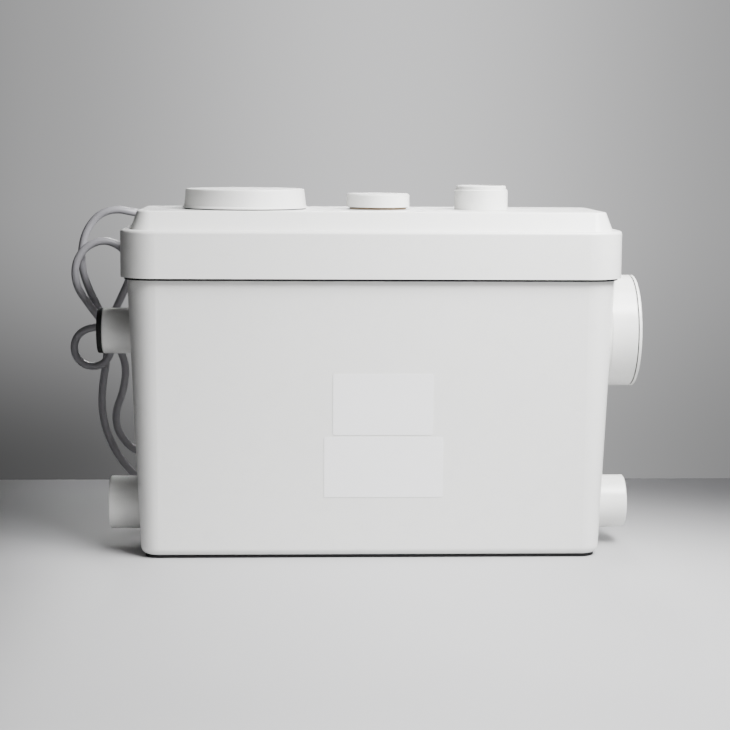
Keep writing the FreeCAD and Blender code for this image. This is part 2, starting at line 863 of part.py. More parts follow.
def motor_cap():
    z0 = plateau_z + cap_gap
    z1 = z0 + cap_height
    slope = cap_taper / cap_height
    lip_z = z0 + cap_lip_height
    shell = turned(
        [
            (0, z1),
            (cap_top_radius, z1),
            (cap_low_radius - slope * (lip_z - z0), lip_z),
            (cap_low_radius + cap_lip, z0 + 1.0),
            (cap_low_radius + cap_lip, z0),
            (cap_low_radius - cap_wall, z0),
            (cap_top_radius - cap_wall, z1 - cap_wall),
            (0, z1 - cap_wall),
        ]
    )
    shell = shell.makeFillet(cap_edge, edges_at(shell, z1))
    plug_r = neck_bore - plug_gap
    foot_z = z1 - cap_wall - cap_plug_length
    stub_in = plug_r - ring_groove - cap_plug_wall
    stub = tube(plug_r, stub_in, foot_z, z1 - cap_wall / 2)
    middle = cap_ring_z()
    half = ring_width / 2
    stub = stub.cut(tube(plug_r + 2, plug_r - ring_groove, middle - half, middle + half))
    cap = shell.fuse(stub).removeSplitter()
    cap.translate(V(motor_x, 0, 0))
    return cap


def cap_ring_z():
    return plateau_z + cap_gap + cap_height - cap_wall - cap_plug_length * ring_place


def motor_cap_ring():
    half = ring_width / 2 - glue_gap
    r_in = neck_bore - plug_gap - ring_groove
    return tube(neck_bore - seat_gap, r_in, cap_ring_z() - half, cap_ring_z() + half, motor_x)


def vent_cap():
    z0 = plateau_z + vent_cap_gap
    z1 = z0 + vent_cap_height
    shell = disc(vent_cap_radius, z0, z1)
    shell = shell.makeChamfer(cap_edge, edges_at(shell, z1))
    shell = shell.cut(disc(vent_cap_radius - vent_cap_wall, z0 - 1, z1 - vent_cap_wall))
    grip_in = vent_neck_radius + seat_gap
    grip = tube(grip_in + vent_grip_wall, grip_in, z0 + 3, z1 - vent_cap_wall / 2)
    slot = vent_slot_width / 2
    slots = block(-vent_cap_radius, vent_cap_radius, -slot, slot, z0, z1 - vent_cap_wall)
    slots = slots.fuse(block(-slot, slot, -vent_cap_radius, vent_cap_radius, z0, z1 - vent_cap_wall))
    cap = shell.fuse(grip.cut(slots))
    under = z1 - vent_cap_wall
    half = vent_stop_width / 2
    for k in range(4):
        stop = block(
            vent_neck_bore + 1, vent_neck_radius + 1, -half, half, under - vent_air_gap, under + 1
        )
        stop.rotate(V(0, 0, 0), V(0, 0, 1), 45 + 90 * k)
        cap = cap.fuse(stop)
    cap = cap.removeSplitter()
    cap.translate(V(vent_x, 0, 0))
    return cap


def vent_seal():
    r_in = vent_neck_radius + glue_gap
    return tube(r_in + vent_seal_width, r_in, plateau_z, plateau_z + vent_seal_height, vent_x)


def filter_foot_z():
    return plateau_z + filter_rise - filter_height


# A round cartridge of charcoal on the ledge in the vent's neck, dished at the top
def carbon_filter():
    top = filter_foot_z() + filter_height
    puck = disc(vent_neck_bore - glue_gap, filter_foot_z(), top, vent_x)
    return puck.cut(disc(vent_neck_bore - vent_seal_width, top - filter_rise, top + 1, vent_x))


def outlet_pipe():
    top = plateau_z + outlet_height
    body = disc(outlet_radius, plateau_z + glue_gap, top)
    body = body.makeChamfer(inlet_edge, edges_at(body, top))
    body = body.fuse(disc(outlet_radius - outlet_step, outlet_bottom_z, plateau_z + 1))
    flange_z = plateau_under_z - outlet_collar
    body = body.fuse(disc(outlet_flange_radius, flange_z - outlet_flange, flange_z))
    body = body.fuse(
        disc(outlet_flange_radius, outlet_bottom_z, outlet_bottom_z + outlet_flange)
    )
    body = body.cut(disc(outlet_bore, outlet_bottom_z - 1, top + 1))
    body = body.cut(disc(ring_radius + glue_gap, top - ring_length + ring_stand, top + 1))
    body.translate(V(outlet_x, 0, 0))
    return body.removeSplitter()


def outlet_ring():
    top = plateau_z + outlet_height + ring_stand
    ring = tube(ring_radius, ring_bore, top - ring_length, top)
    rim = [e for e in edges_at(ring, top) if e.BoundBox.XLength > 2 * ring_radius - near_enough]
    ring = ring.makeChamfer(inlet_edge, rim)
    ring.translate(V(outlet_x, 0, 0))
    return ring


def check_pivot():
    x = outlet_x - outlet_bore + check_pivot_inset
    return x, outlet_bottom_z + knuckle_radius + seat_gap


def valve_seat():
    # lower half of the non-return valve: a flange, a seat and a spigot for the hose
    z1 = outlet_bottom_z
    plate = disc(outlet_flange_radius, z1 - seat_thick, z1, outlet_x)
    spigot_r = port_bore + port_wall
    body = plate.fuse(disc(spigot_r, z1 - seat_thick - spigot_length, z1, outlet_x))
    x, z = check_pivot()
    width = knuckle_width / 2 + slide_gap
    for y in (-width - ear_thick, width):
        ear = block(x - knuckle_radius, x + knuckle_radius, y, y + ear_thick, z1 - 1, z)
        eye = Part.makeCylinder(knuckle_radius, ear_thick, V(x, y, z), V(0, 1, 0))
        hole = Part.makeCylinder(pin_radius + glue_gap, ear_thick, V(x, y, z), V(0, 1, 0))
        body = body.fuse(ear.fuse(eye)).cut(hole)
    return body.cut(disc(port_bore, 0, z1 + 1, outlet_x)).removeSplitter()


def check_flap():
    x, z = check_pivot()
    z0 = outlet_bottom_z + seat_gap
    plate = disc(check_flap_radius, z0, z0 + flap_thick, outlet_x)
    tongue = block(x, outlet_x, -knuckle_width / 2, knuckle_width / 2, z0, z0 + flap_thick)
    half = knuckle_width / 2
    knuckle = Part.makeCylinder(knuckle_radius, knuckle_width, V(x, -half, z), V(0, 1, 0))
    weight = disc(check_weight_radius, z0 + 1, z0 + flap_thick + 2, outlet_x)
    bore_r = pin_radius + spin_gap
    hole = Part.makeCylinder(bore_r, knuckle_width + 2, V(x, -half - 1, z), V(0, 1, 0))
    return plate.fuse([tongue, knuckle, weight]).cut(hole).removeSplitter()


def check_pin():
    x, z = check_pivot()
    length = knuckle_width + 2 * ear_thick + 2 * slide_gap
    return Part.makeCylinder(pin_radius, length, V(x, -length / 2, z), V(0, 1, 0))


def motor_can():
    z0 = can_bottom_z
    floor_z = z0 + can_floor
    hub_r = bearing_radius + bearing_hub_wall
    body = disc(can_radius, z0, can_mouth_z)
    body = body.makeChamfer(can_edge, edges_at(body, z0))
    body = body.fuse(disc(can_radius + can_flange_width, can_mouth_z - can_flange, can_mouth_z))
    body = body.cut(disc(can_bore, stator_bottom_z, can_mouth_z + 1))
    body = body.cut(disc(can_bore - can_step, floor_z, stator_bottom_z + 1))
    body = body.fuse(disc(hub_r, floor_z - 1, floor_z + bearing_width))
    body = body.cut(disc(bearing_radius + spin_gap, floor_z, floor_z + bearing_width + 1))
    body = body.cut(disc(seal_radius + spin_gap, z0 - 1, floor_z + 1))
    body.translate(V(motor_x, 0, 0))
    for x, y in can_screw_places():
        body = body.cut(disc(can_screw_radius + glue_gap, 0, can_mouth_z + 1, x, y))
    for x, y in pump_screw_places():
        body = body.cut(disc(can_screw_radius + glue_gap, 0, z0 + can_floor - 1, x, y))
    return body.removeSplitter()


def can_screws():
    size = (can_screw_radius, can_screw_head_radius, can_screw_head)
    head_z = can_mouth_z - can_flange
    length = can_flange + can_screw_bite
    return [screw(x, y, head_z, length, *size, down=False) for x, y in can_screw_places()]


def stator():
    top = stator_bottom_z + stator_length
    body = tube(can_bore - seat_gap, stator_bore, stator_bottom_z, top, motor_x)
    for k in range(stator_slots):
        half = slot_width / 2
        slot = block(stator_bore - 1, stator_bore + slot_depth, -half, half, 0, top + 1)
        slot.rotate(V(0, 0, 0), V(0, 0, 1), 360 * k / stator_slots)
        slot.translate(V(motor_x, 0, 0))
        body = body.cut(slot)
    return body


def windings():
    rings = []
    top = stator_bottom_z + stator_length
    for z0 in (stator_bottom_z - winding_height, top):
        ring = tube(winding_outer, winding_inner, z0, z0 + winding_height, motor_x)
        outer = z0 if z0 < stator_bottom_z else z0 + winding_height
        rings.append(ring.makeChamfer(winding_edge, edges_at(ring, outer)))
    return rings


def bearing(z0):
    body = tube(bearing_radius, shaft_radius + spin_gap, z0, z0 + bearing_width, motor_x)
    middle = (bearing_radius + shaft_radius) / 2
    top = z0 + bearing_width
    near, far = middle - bearing_groove, middle + bearing_groove
    groove = tube(far, near, top - bearing_groove_depth, top + 1, motor_x)
    return body.cut(groove)


def shield_z():
    return stator_bottom_z + stator_length + shield_height


def end_shield():
    # carries the upper bearing and stands on the stator
    z1 = shield_z()
    r_out = can_bore - seat_gap
    body = disc(r_out, z1 - shield_thick, z1)
    skirt_foot = stator_bottom_z + stator_length
    body = body.fuse(tube(r_out, r_out - shield_skirt, skirt_foot, z1))
    hub_r = bearing_radius + bearing_hub_wall
    body = body.fuse(disc(hub_r, z1 - bearing_width + hub_rise, z1 + hub_rise))
    seat_z = z1 - bearing_width + bearing_lift
    body = body.cut(disc(bearing_radius + spin_gap, seat_z, z1 + bearing_lift))
    body = body.cut(disc(shaft_radius + 2, 0, z1 + hub_rise + 1))
    half = shield_vent_width / 2
    for k in range(shield_vents):
        vent = block(hub_r + hub_rise, r_out - shield_vent_inset, -half, half, z1 - shield_thick - 1, z1 + 1)
        vent.rotate(V(0, 0, 0), V(0, 0, 1), 45 + 360 * k / shield_vents)
        body = body.cut(vent)
    body.translate(V(motor_x, 0, 0))
    return body.removeSplitter()


def shaft_seal():
    z0 = can_bottom_z
    body = tube(seal_radius, shaft_radius + spin_gap, z0 + seal_lift, z0 + can_floor, motor_x)
    return body.cut(tube(seal_radius - 2, shaft_radius + 2, z0, z0 + seal_groove, motor_x))


def rotor():
    z0 = stator_bottom_z - 2
    z1 = stator_bottom_z + stator_length + 2
    return tube(stator_bore - air_gap, shaft_radius + press_gap, z0, z1, motor_x)


def shaft_bottom_z():
    return blade_z() - nut_height


def blade_z():
    return can_bottom_z - volute_depth - plate_thick - blade_gap - blade_thick


def motor_shaft():
    body = disc(shaft_radius, shaft_bottom_z(), shaft_top_z, motor_x)
    body = body.makeChamfer(1.0, edges_at(body, shaft_top_z))
    across = shaft_radius + 1
    half = shaft_slot_width / 2
    foot = shaft_top_z - shaft_slot_depth
    slot = block(-across, across, -half, half, foot, shaft_top_z + 1)
    slot.translate(V(motor_x, 0, 0))
    return body.cut(slot)


def tray_z():
    return shield_z() + tray_rise


def electrics_tray():
    z0 = tray_z()
    r = neck_bore - tray_margin
    body = disc(r, z0, z0 + tray_thick)
    body = body.fuse(tube(r, r - tray_lip, z0, z0 + tray_lip_height))
    post_ring = r - tray_post_inset
    for k in range(tray_posts):
        angle = math.radians(90 + 360 * k / tray_posts)
        x, y = post_ring * math.cos(angle), post_ring * math.sin(angle)
        body = body.fuse(disc(tray_post_radius, shield_z(), z0 + 1, x, y))
    body = body.cut(disc(shaft_radius + 3, z0 - 1, z0 + tray_thick + 1))
    body.translate(V(motor_x, 0, 0))
    return body


def capacitor():
    z = tray_z() + tray_thick + capacitor_radius
    y = capacitor_radius + capacitor_offset
    x0 = motor_x - capacitor_length / 2
    body = Part.makeCylinder(capacitor_radius, capacitor_length, V(x0, y, z), V(1, 0, 0))
    ends = [e for e in body.Edges if e.BoundBox.XLength < near_enough]
    body = body.makeChamfer(capacitor_edge, ends)
    tabs = []
    half = tab_width / 2
    for middle in (y - tab_offset, y + tab_offset):
        tabs.append(block(x0 - tab_length, x0 + 1, middle - half, middle + half, z, z + tab_thick))
    return body.fuse(tabs)


def terminal_block():
    z0 = tray_z() + tray_thick
    z1 = z0 + terminal_height
    x0 = motor_x - terminal_length / 2
    y0 = terminal_y - terminal_depth
    y1 = terminal_y
    body = block(x0, x0 + terminal_length, y0, y1, z0, z0 + terminal_shoulder)
    pitch = terminal_length / terminal_poles
    half = pitch * terminal_pole_share / 2
    places = [x0 + (k + 0.5) * pitch for k in range(terminal_poles)]
    for x in places:
        body = body.fuse(block(x - half, x + half, y0 + 2, y1 - 2, z0, z1))
    for x in places:
        body = body.cut(disc(terminal_screw_radius, z1 - 4, z1 + 1, x, (y0 + y1) / 2))
    return body


# The pump casing's plan: a four-arc spiral that widens by one step in each quarter turn.
# It starts on the local X axis and ends there, where the port leaves along local Y.
def spiral_face(grow, z):
    arcs = []
    centre = V(0, 0, z)
    radius = volute_start + grow
    for k in range(4):
        a0 = math.radians(90 * k)
        a1 = a0 + math.pi / 4
        a2 = a0 + math.pi / 2
        spots = [centre + V(radius * math.cos(a), radius * math.sin(a), 0) for a in (a0, a1, a2)]
        arcs.append(Part.Arc(*spots).toShape())
        centre = centre - V(volute_step * math.cos(a2), volute_step * math.sin(a2), 0)
        radius = radius + volute_step
    first = arcs[0].Vertexes[0].Point
    last = arcs[-1].Vertexes[-1].Point
    arcs.append(Part.LineSegment(last, first).toShape())
    return Part.Face(Part.Wire(arcs))


def port_offset():
    return volute_start + 4 * volute_step - port_bore


def port_turn():
    # turns local Y to the line that runs from the port to the outlet
    return math.degrees(math.asin(port_offset() / (outlet_x - motor_x))) - 90


def place_pump(solid):
    solid.rotate(V(0, 0, 0), V(0, 0, 1), port_turn())
    solid.translate(V(motor_x, 0, 0))
    return solid


def pump_screw_places():
    return ring_places(can_bore - pump_screw_inset, 4, 45)


def pump_casing():
    z1 = can_bottom_z - seat_gap
    z0 = can_bottom_z - volute_depth
    height = z1 - z0
    hole_r = can_screw_radius + glue_gap
    outer = spiral_face(volute_wall, z0).extrude(V(0, 0, height))
    chamber = spiral_face(0, z0 + volute_wall).extrude(V(0, 0, height))
    start = V(port_offset(), 0, hose_z)
    duct = Part.makeCylinder(port_bore + port_wall, port_length, start, V(0, 1, 0))
    way = Part.makeCylinder(port_bore, port_length + 1, start, V(0, 1, 0))
    body = place_pump(outer.fuse(duct))
    body = body.cut(place_pump(chamber.fuse(way)))
    for x, y in pump_screw_places():
        body = body.fuse(disc(can_screw_radius + volute_wall - 1, z0, z1, x, y))
    for x, y in pump_screw_places():
        body = body.cut(disc(hole_r, z0 - 1, z1 + 1, x, y))
    for x, y in basket_screw_places():
        body = body.cut(disc(hole_r, z0 - 1, z0 + volute_wall - 1, x, y))
    body = body.cut(disc(eye_radius, z0 - 1, z0 + volute_wall + 1, motor_x))
    return body.removeSplitter()


def pump_screws():
    size = (can_screw_radius, can_screw_head_radius, can_screw_head)
    head_z = can_bottom_z - volute_depth
    length = volute_depth + can_floor - pump_screw_end
    return [screw(x, y, head_z, length, *size, down=False) for x, y in pump_screw_places()]


def impeller():
    top = can_bottom_z - impeller_drop
    disc_z = top - impeller_disc
    foot = can_bottom_z - volute_depth + volute_wall + vane_gap
    body = disc(impeller_radius, disc_z, top)
    body = body.fuse(disc(shaft_radius + 4, foot, top + 2))
    # each vane is a slice of a ring that leans backwards
    lean = vane_radius
    vanes = []
    for k in range(vane_count):
        half = vane_thick / 2
        wall = tube(lean + half, lean - half, foot, disc_z + 1, vane_shift_x, vane_shift_y)
        keep = disc(impeller_radius, foot, disc_z + 1).cut(disc(shaft_radius + 2, foot - 1, disc_z + 2))
        side = block(0, impeller_radius, -lean, vane_end_y, foot, disc_z + 1)
        vane = wall.common(keep).common(side)
        vane.rotate(V(0, 0, 0), V(0, 0, 1), 360.0 * k / vane_count)
        vanes.append(vane)
    body = body.fuse(vanes)
    body = body.cut(disc(shaft_radius + press_gap, 0, top + 3))
    body.translate(V(motor_x, 0, 0))
    return body.removeSplitter()


def basket_screw_places():
    ring = basket_radius - basket_wall - can_screw_head_radius - seat_gap
    return ring_places(ring, basket_screw_count)


def suction_plate():
    z1 = can_bottom_z - volute_depth
    z0 = z1 - plate_thick
    body = disc(basket_radius, z0, z1)
    body = body.cut(disc(eye_radius - plate_eye_step, z0 - 1, z1 + 1))
    for k in range(plate_notches):
        half = plate_notch_width / 2
        notch = block(0, eye_radius + plate_notch_reach, -half, half, z0 - 1, z1 + 1)
        turn = 360.0 * k / plate_notches + plate_notch_turn
        notch.rotate(V(0, 0, 0), V(0, 0, 1), turn)
        body = body.cut(notch)
    body.translate(V(motor_x, 0, 0))
    for x, y in basket_screw_places():
        body = body.cut(disc(can_screw_radius + glue_gap, z0 - 1, z1 + 1, x, y))
    return body


# Screws that hold the suction plate and the basket up against the pump casing
def basket_screws():
    size = (can_screw_radius, can_screw_head_radius, can_screw_head)
    head_z = can_bottom_z - volute_depth - plate_thick - basket_post_height
    length = basket_post_height + plate_thick + volute_wall - basket_screw_end
    return [screw(x, y, head_z, length, *size, down=False) for x, y in basket_screw_places()]


def cutter_blade():
    z0 = blade_z()
    body = disc(shaft_radius + blade_hub, z0, z0 + blade_thick)
    for k in range(2):
        outline = [
            V(0, -blade_width / 2, z0),
            V(blade_reach, -blade_width / 2 + 2, z0),
            V(blade_reach - 3, blade_width / 2, z0),
            V(0, blade_width / 2, z0),
        ]
        arm = Part.Face(Part.makePolygon(outline + outline[:1])).extrude(V(0, 0, blade_thick))
        bevel_y = blade_width / 2 - blade_bevel
        edge = block(0, blade_reach + 1, bevel_y, blade_width, 0, blade_thick + 2)
        edge.rotate(V(0, bevel_y, 0), V(1, 0, 0), -blade_bevel_turn)
        edge.translate(V(0, 0, z0 + blade_thick))
        arm = arm.cut(edge)
        arm.rotate(V(0, 0, 0), V(0, 0, 1), 180 * k)
        body = body.fuse(arm)
    body = body.cut(disc(shaft_radius + press_gap, 0, z0 + blade_thick + 1))
    body.translate(V(motor_x, 0, 0))
    return body


def cutter_nut():
    z1 = blade_z()
    z0 = z1 - nut_height
    turns = [math.radians(60 * k) for k in range(7)]
    outline = [V(nut_radius * math.cos(t), nut_radius * math.sin(t), z0) for t in turns]
    body = Part.Face(Part.makePolygon(outline)).extrude(V(0, 0, nut_height))
    body = body.cut(disc(shaft_radius + press_gap, z0 - 1, z1 + 1))
    body.translate(V(motor_x, 0, 0))
    return body


def grinder_basket():
    z1 = can_bottom_z - volute_depth - plate_thick
    z0 = z1 - basket_height
    body = disc(basket_radius, z0, z1)
    body = body.makeChamfer(basket_edge, edges_at(body, z0))
    body = body.cut(disc(basket_radius - basket_wall, z0 + basket_wall + 2, z1 + 1))
    r = basket_radius
    post_z = z1 - basket_post_height
    for x, y in basket_screw_places():
        post = disc(basket_post_radius, post_z, z1, x - motor_x, y)
        body = body.fuse(post.common(disc(r, post_z, z1)))
        body = body.cut(disc(can_screw_radius + glue_gap, post_z - 1, z1 + 1, x - motor_x, y))
    foot = z0 + basket_slot_rise
    crown = post_z - basket_slot_drop
    for k in range(basket_slots):
        half = basket_slot_width / 2
        slot = block(r - basket_slot_depth, r + 1, -half, half, foot, crown)
        slot.rotate(V(0, 0, 0), V(0, 0, 1), 360.0 * (k + 0.5) / basket_slots)
        body = body.cut(slot)
    near, far = basket_foot_slot_from, basket_foot_slot_to
    for k in range(basket_foot_slots):
        half = basket_foot_slot_width / 2
        slot = block(near, far, -half, half, z0 - 1, z0 + basket_wall + 3)
        slot.rotate(V(0, 0, 0), V(0, 0, 1), 360.0 * k / basket_foot_slots)
        body = body.cut(slot)
    body.translate(V(motor_x, 0, 0))
    return body


def discharge_path():
    spot = V(port_offset(), port_length - port_grip, hose_z)
    turn = FreeCAD.Rotation(V(0, 0, 1), port_turn())
    start = turn.multVec(spot) + V(motor_x, 0, 0)
    corner = V(outlet_x, 0, hose_z)
    along = (corner - start).normalize()
    before = corner - along * hose_bend
    after = corner + V(0, 0, hose_bend)
    c = math.sqrt(0.5)
    centre = before + V(0, 0, hose_bend)
    middle = centre + along * (hose_bend * c) - V(0, 0, hose_bend * c)
    end = V(outlet_x, 0, outlet_bottom_z - seat_thick - 1)
    edges = [
        Part.LineSegment(start, before).toShape(),
        Part.Arc(before, middle, after).toShape(),
        Part.LineSegment(after, end).toShape(),
    ]
    return start, along, end, Part.Wire(edges)


def discharge_hose():
    start, along, end, path = discharge_path()
    r_in = port_bore + port_wall + seat_gap
    solids = []
    for r in (r_in + hose_wall, r_in):
        ring = Part.Wire(Part.makeCircle(r, start, along))
        solids.append(path.makePipeShell([ring], True, False))
    return solids[0].cut(solids[1])


def hose_clamps():
    start, along, end, path = discharge_path()
    r_in = port_bore + port_wall + seat_gap + hose_wall + glue_gap
    low_spot = start + along * clamp_inset
    top_spot = end - V(0, 0, clamp_inset + clamp_width)
    half = clamp_box_width / 2
    up = V(0, 0, 1)
    bands = []
    for spot, way, side in ((low_spot, along, up), (top_spot, up, V(0, -1, 0))):
        band = Part.makeCylinder(r_in + clamp_thick, clamp_width, spot, way)
        turn = FreeCAD.Rotation(side.cross(way), side, way, "ZYX")
        housing = block(-half, half, r_in - 2, r_in + clamp_box_rise, 0, clamp_width)
        housing.Placement = FreeCAD.Placement(spot, turn)
        band = band.fuse(housing)
        hole = Part.makeCylinder(r_in, clamp_width * 3, spot - way * clamp_width, way)
        bands.append(band.cut(hole))
    return bands


def level_cup_bottom():
    return plateau_under_z - level_cup_height


def level_tube():
    z1 = level_cup_bottom() - membrane_thick
    z0 = z1 - level_dish_height
    body = disc(level_tube_radius, level_tube_foot_z, z1)
    body = body.fuse(disc(level_cup_radius, z0, z1))
    body = body.cut(disc(level_cup_radius - 4, z0 + 3, z1 + 1))
    body = body.cut(disc(level_tube_radius - level_tube_wall, level_tube_foot_z - 1, z1 + 1))
    body.translate(V(level_x, level_y, 0))
    return body


def level_membrane():
    z0 = level_cup_bottom() - membrane_thick
    return disc(level_cup_radius, z0, z0 + membrane_thick, level_x, level_y)


def level_cup():
    z0 = level_cup_bottom()
    body = disc(level_cup_radius, z0, plateau_under_z)
    inside = level_cup_radius - level_cup_wall
    room = disc(inside, z0 - 1, plateau_under_z - level_cup_wall)
    guide = disc(inside, z0 + guide_rise, z0 + guide_rise + level_cup_wall)
    guide = guide.cut(disc(plunger_radius + glue_gap, z0, plateau_under_z))
    body = body.cut(room.cut(guide))
    body.translate(V(level_x, level_y, 0))
    return body


def level_plunger():
    z0 = level_cup_bottom() + glue_gap
    body = disc(plunger_foot_radius, z0, z0 + plunger_foot, level_x, level_y)
    return body.fuse(disc(plunger_radius, z0, z0 + plunger_length, level_x, level_y))


def micro_switch():
    z0 = level_cup_bottom() + glue_gap + plunger_length + plunger_travel + seat_gap
    z1 = plateau_under_z - level_cup_wall
    half_x, half_y = switch_length / 2, switch_depth / 2
    return block(level_x - half_x, level_x + half_x, level_y - half_y, level_y + half_y, z0, z1)


def gland_y():
    return lid_depth / 2 - plateau_inset_low - (gland_z - ledge_z) * plateau_slope


# Rubber strain relief in the lid's rear slope: collar, ringed taper and a shank inside
def strain_relief():
    y0 = gland_y()
    outline = [
        (0, y0 - 3),
        (gland_radius, y0 - 3),
        (gland_radius, y0 + relief_collar),
        (relief_end_radius + relief_step, y0 + relief_collar + relief_taper),
        (relief_end_radius, y0 + relief_length),
        (0, y0 + relief_length),
    ]
    wire = Part.makePolygon([V(r, y, 0) for r, y in outline + outline[:1]])
    body = Part.Face(wire).revolve(V(0, 0, 0), V(0, 1, 0), 360)
    core_r = relief_end_radius - relief_step
    for k in range(relief_rings):
        spot = V(0, y0 + relief_ring_start + relief_ring_pitch * k, 0)
        ring = Part.makeCylinder(gland_radius, relief_ring_width, spot, V(0, 1, 0))
        core = Part.makeCylinder(core_r, relief_ring_width, spot, V(0, 1, 0))
        body = body.cut(ring.cut(core))
    body.translate(V(motor_x, 0, gland_z))
    body = body.cut(plateau_form(-glue_gap, ledge_z, plateau_z))
    shank_y = y0 - lid_top - relief_shank
    spot = V(motor_x, shank_y, gland_z)
    shank = Part.makeCylinder(gland_thread, y0 + 4 - shank_y, spot, V(0, 1, 0))
    return body.fuse(shank).removeSplitter()


# A cord's tube: straight runs joined by arcs as large as the runs allow
def cord_tube(name, points, radius):
    spots = [V(*p) for p in points]
    edges = []
    radii = []
    lay = spots[0]
    for before, corner, after in zip(spots, spots[1:], spots[2:]):
        way_in = (corner - before).normalize()
        way_out = (after - corner).normalize()
        turn = way_in.getAngle(way_out)
        back = bend_share * min((corner - before).Length, (after - corner).Length)
        radii.append(back / math.tan(turn / 2))
        first = corner - way_in * back
        last = corner + way_out * back
        inwards = (way_out - way_in).normalize()
        depth = radii[-1] / math.cos(turn / 2) - radii[-1]
        edges.append(Part.LineSegment(lay, first).toShape())
        edges.append(Part.Arc(first, corner + inwards * depth, last).toShape())
        lay = last
    edges.append(Part.LineSegment(lay, spots[-1]).toShape())
    path = Part.Wire(edges)
    start = (spots[1] - spots[0]).normalize()
    ring = Part.Wire(Part.makeCircle(radius, spots[0], start))
    tube_solid = path.makePipeShell([ring], True, False)
    ideal = math.pi * radius**2 * path.Length
    print(f"  {name}: {path.Length:.0f} mm long, volume {tube_solid.Volume / ideal:.4f} of the ideal")
    print("  radii:", " ".join(f"{r:.0f}" for r in radii))
    print(f"  least gap to itself: {least_gap(path, radius):.2f} mm")
    return tube_solid


# The least gap between parts of a tube that lie far_apart diameters or more apart along it
def least_gap(path, radius):
    step = 2.0
    spots = path.discretize(Distance=step)
    skip = int(2 * far_apart * radius / step) + 1
    gap = min((a - b).Length for k, a in enumerate(spots) for b in spots[k + skip :])
    return gap - 2 * radius


def supply_cord():
    relief_end = gland_y() + relief_length
    start = (motor_x, relief_end, gland_z)
    second = (motor_x, relief_end + cord_straight, gland_z)
    plug_end = (plug_x, plug_y, plug_z)
    return cord_tube("supply_cord", [start, second] + cord_route + [plug_end], cord_radius)


def cord_tie():
    z1 = tie_z + tie_height
    wide, deep = tie_width + 2 * tie_thick, tie_depth + 2 * tie_thick
    tie = prism(wide, deep, tie_corner + tie_thick, tie_z, z1)
    tie = tie.cut(prism(tie_width, tie_depth, tie_corner, tie_z - 1, z1 + 1))
    tie.translate(V(tie_x, tie_y, 0))
    return tie


# Moulded plug that lies on the floor, its pins to the right
def plug_body():
    x0, x1 = 0, plug_body_length
    r = plug_radius
    outline = [
        (0, x0),
        (relief_end_radius, x0),
        (relief_end_radius + plug_sleeve_step, x0 + plug_sleeve),
        (r * plug_waist, x0 + plug_shoulder),
        (r * plug_hip, x1 - plug_grip),
        (r, x1 - plug_face),
        (r, x1),
        (0, x1),
    ]
    body = turned(outline)
    body.rotate(V(0, 0, 0), V(0, 1, 0), 90)
    body.translate(V(plug_x, plug_y, plug_z))
    return body.removeSplitter()


def plug_pins():
    pins = []
    for side in (-1, 1):
        spot = V(plug_x + plug_body_length - plug_pin_root, plug_y + side * pin_pitch / 2, plug_z)
        pin = Part.makeCylinder(plug_pin_radius, pin_length + plug_pin_root, spot, V(1, 0, 0))
        tip = [e for e in pin.Edges if e.BoundBox.XMin > spot.x + pin_length]
        pins.append(pin.makeChamfer(plug_pin_edge, tip))
    return pins


def plug():
    body = plug_body()
    for pin in plug_pins():
        body = body.cut(pin)
    return body


def save(name, shape):
    solids = shape if isinstance(shape, list) else [shape]
    kept = []
    for s in solids:
        kept += s.Solids
    for k, s in enumerate(kept):
        if not s.isValid() or s.Volume <= 0:
            print("  faulty solid", name, k, round(s.Volume, 2))
    out = Part.makeCompound(kept) if len(kept) > 1 else kept[0]
    out.exportStep(os.path.join("parts", name + ".step"))
    box = out.BoundBox
    print(f"{name}: {len(kept)} solid(s), {box.XLength:.1f} x {box.YLength:.1f} x {box.ZLength:.1f}")


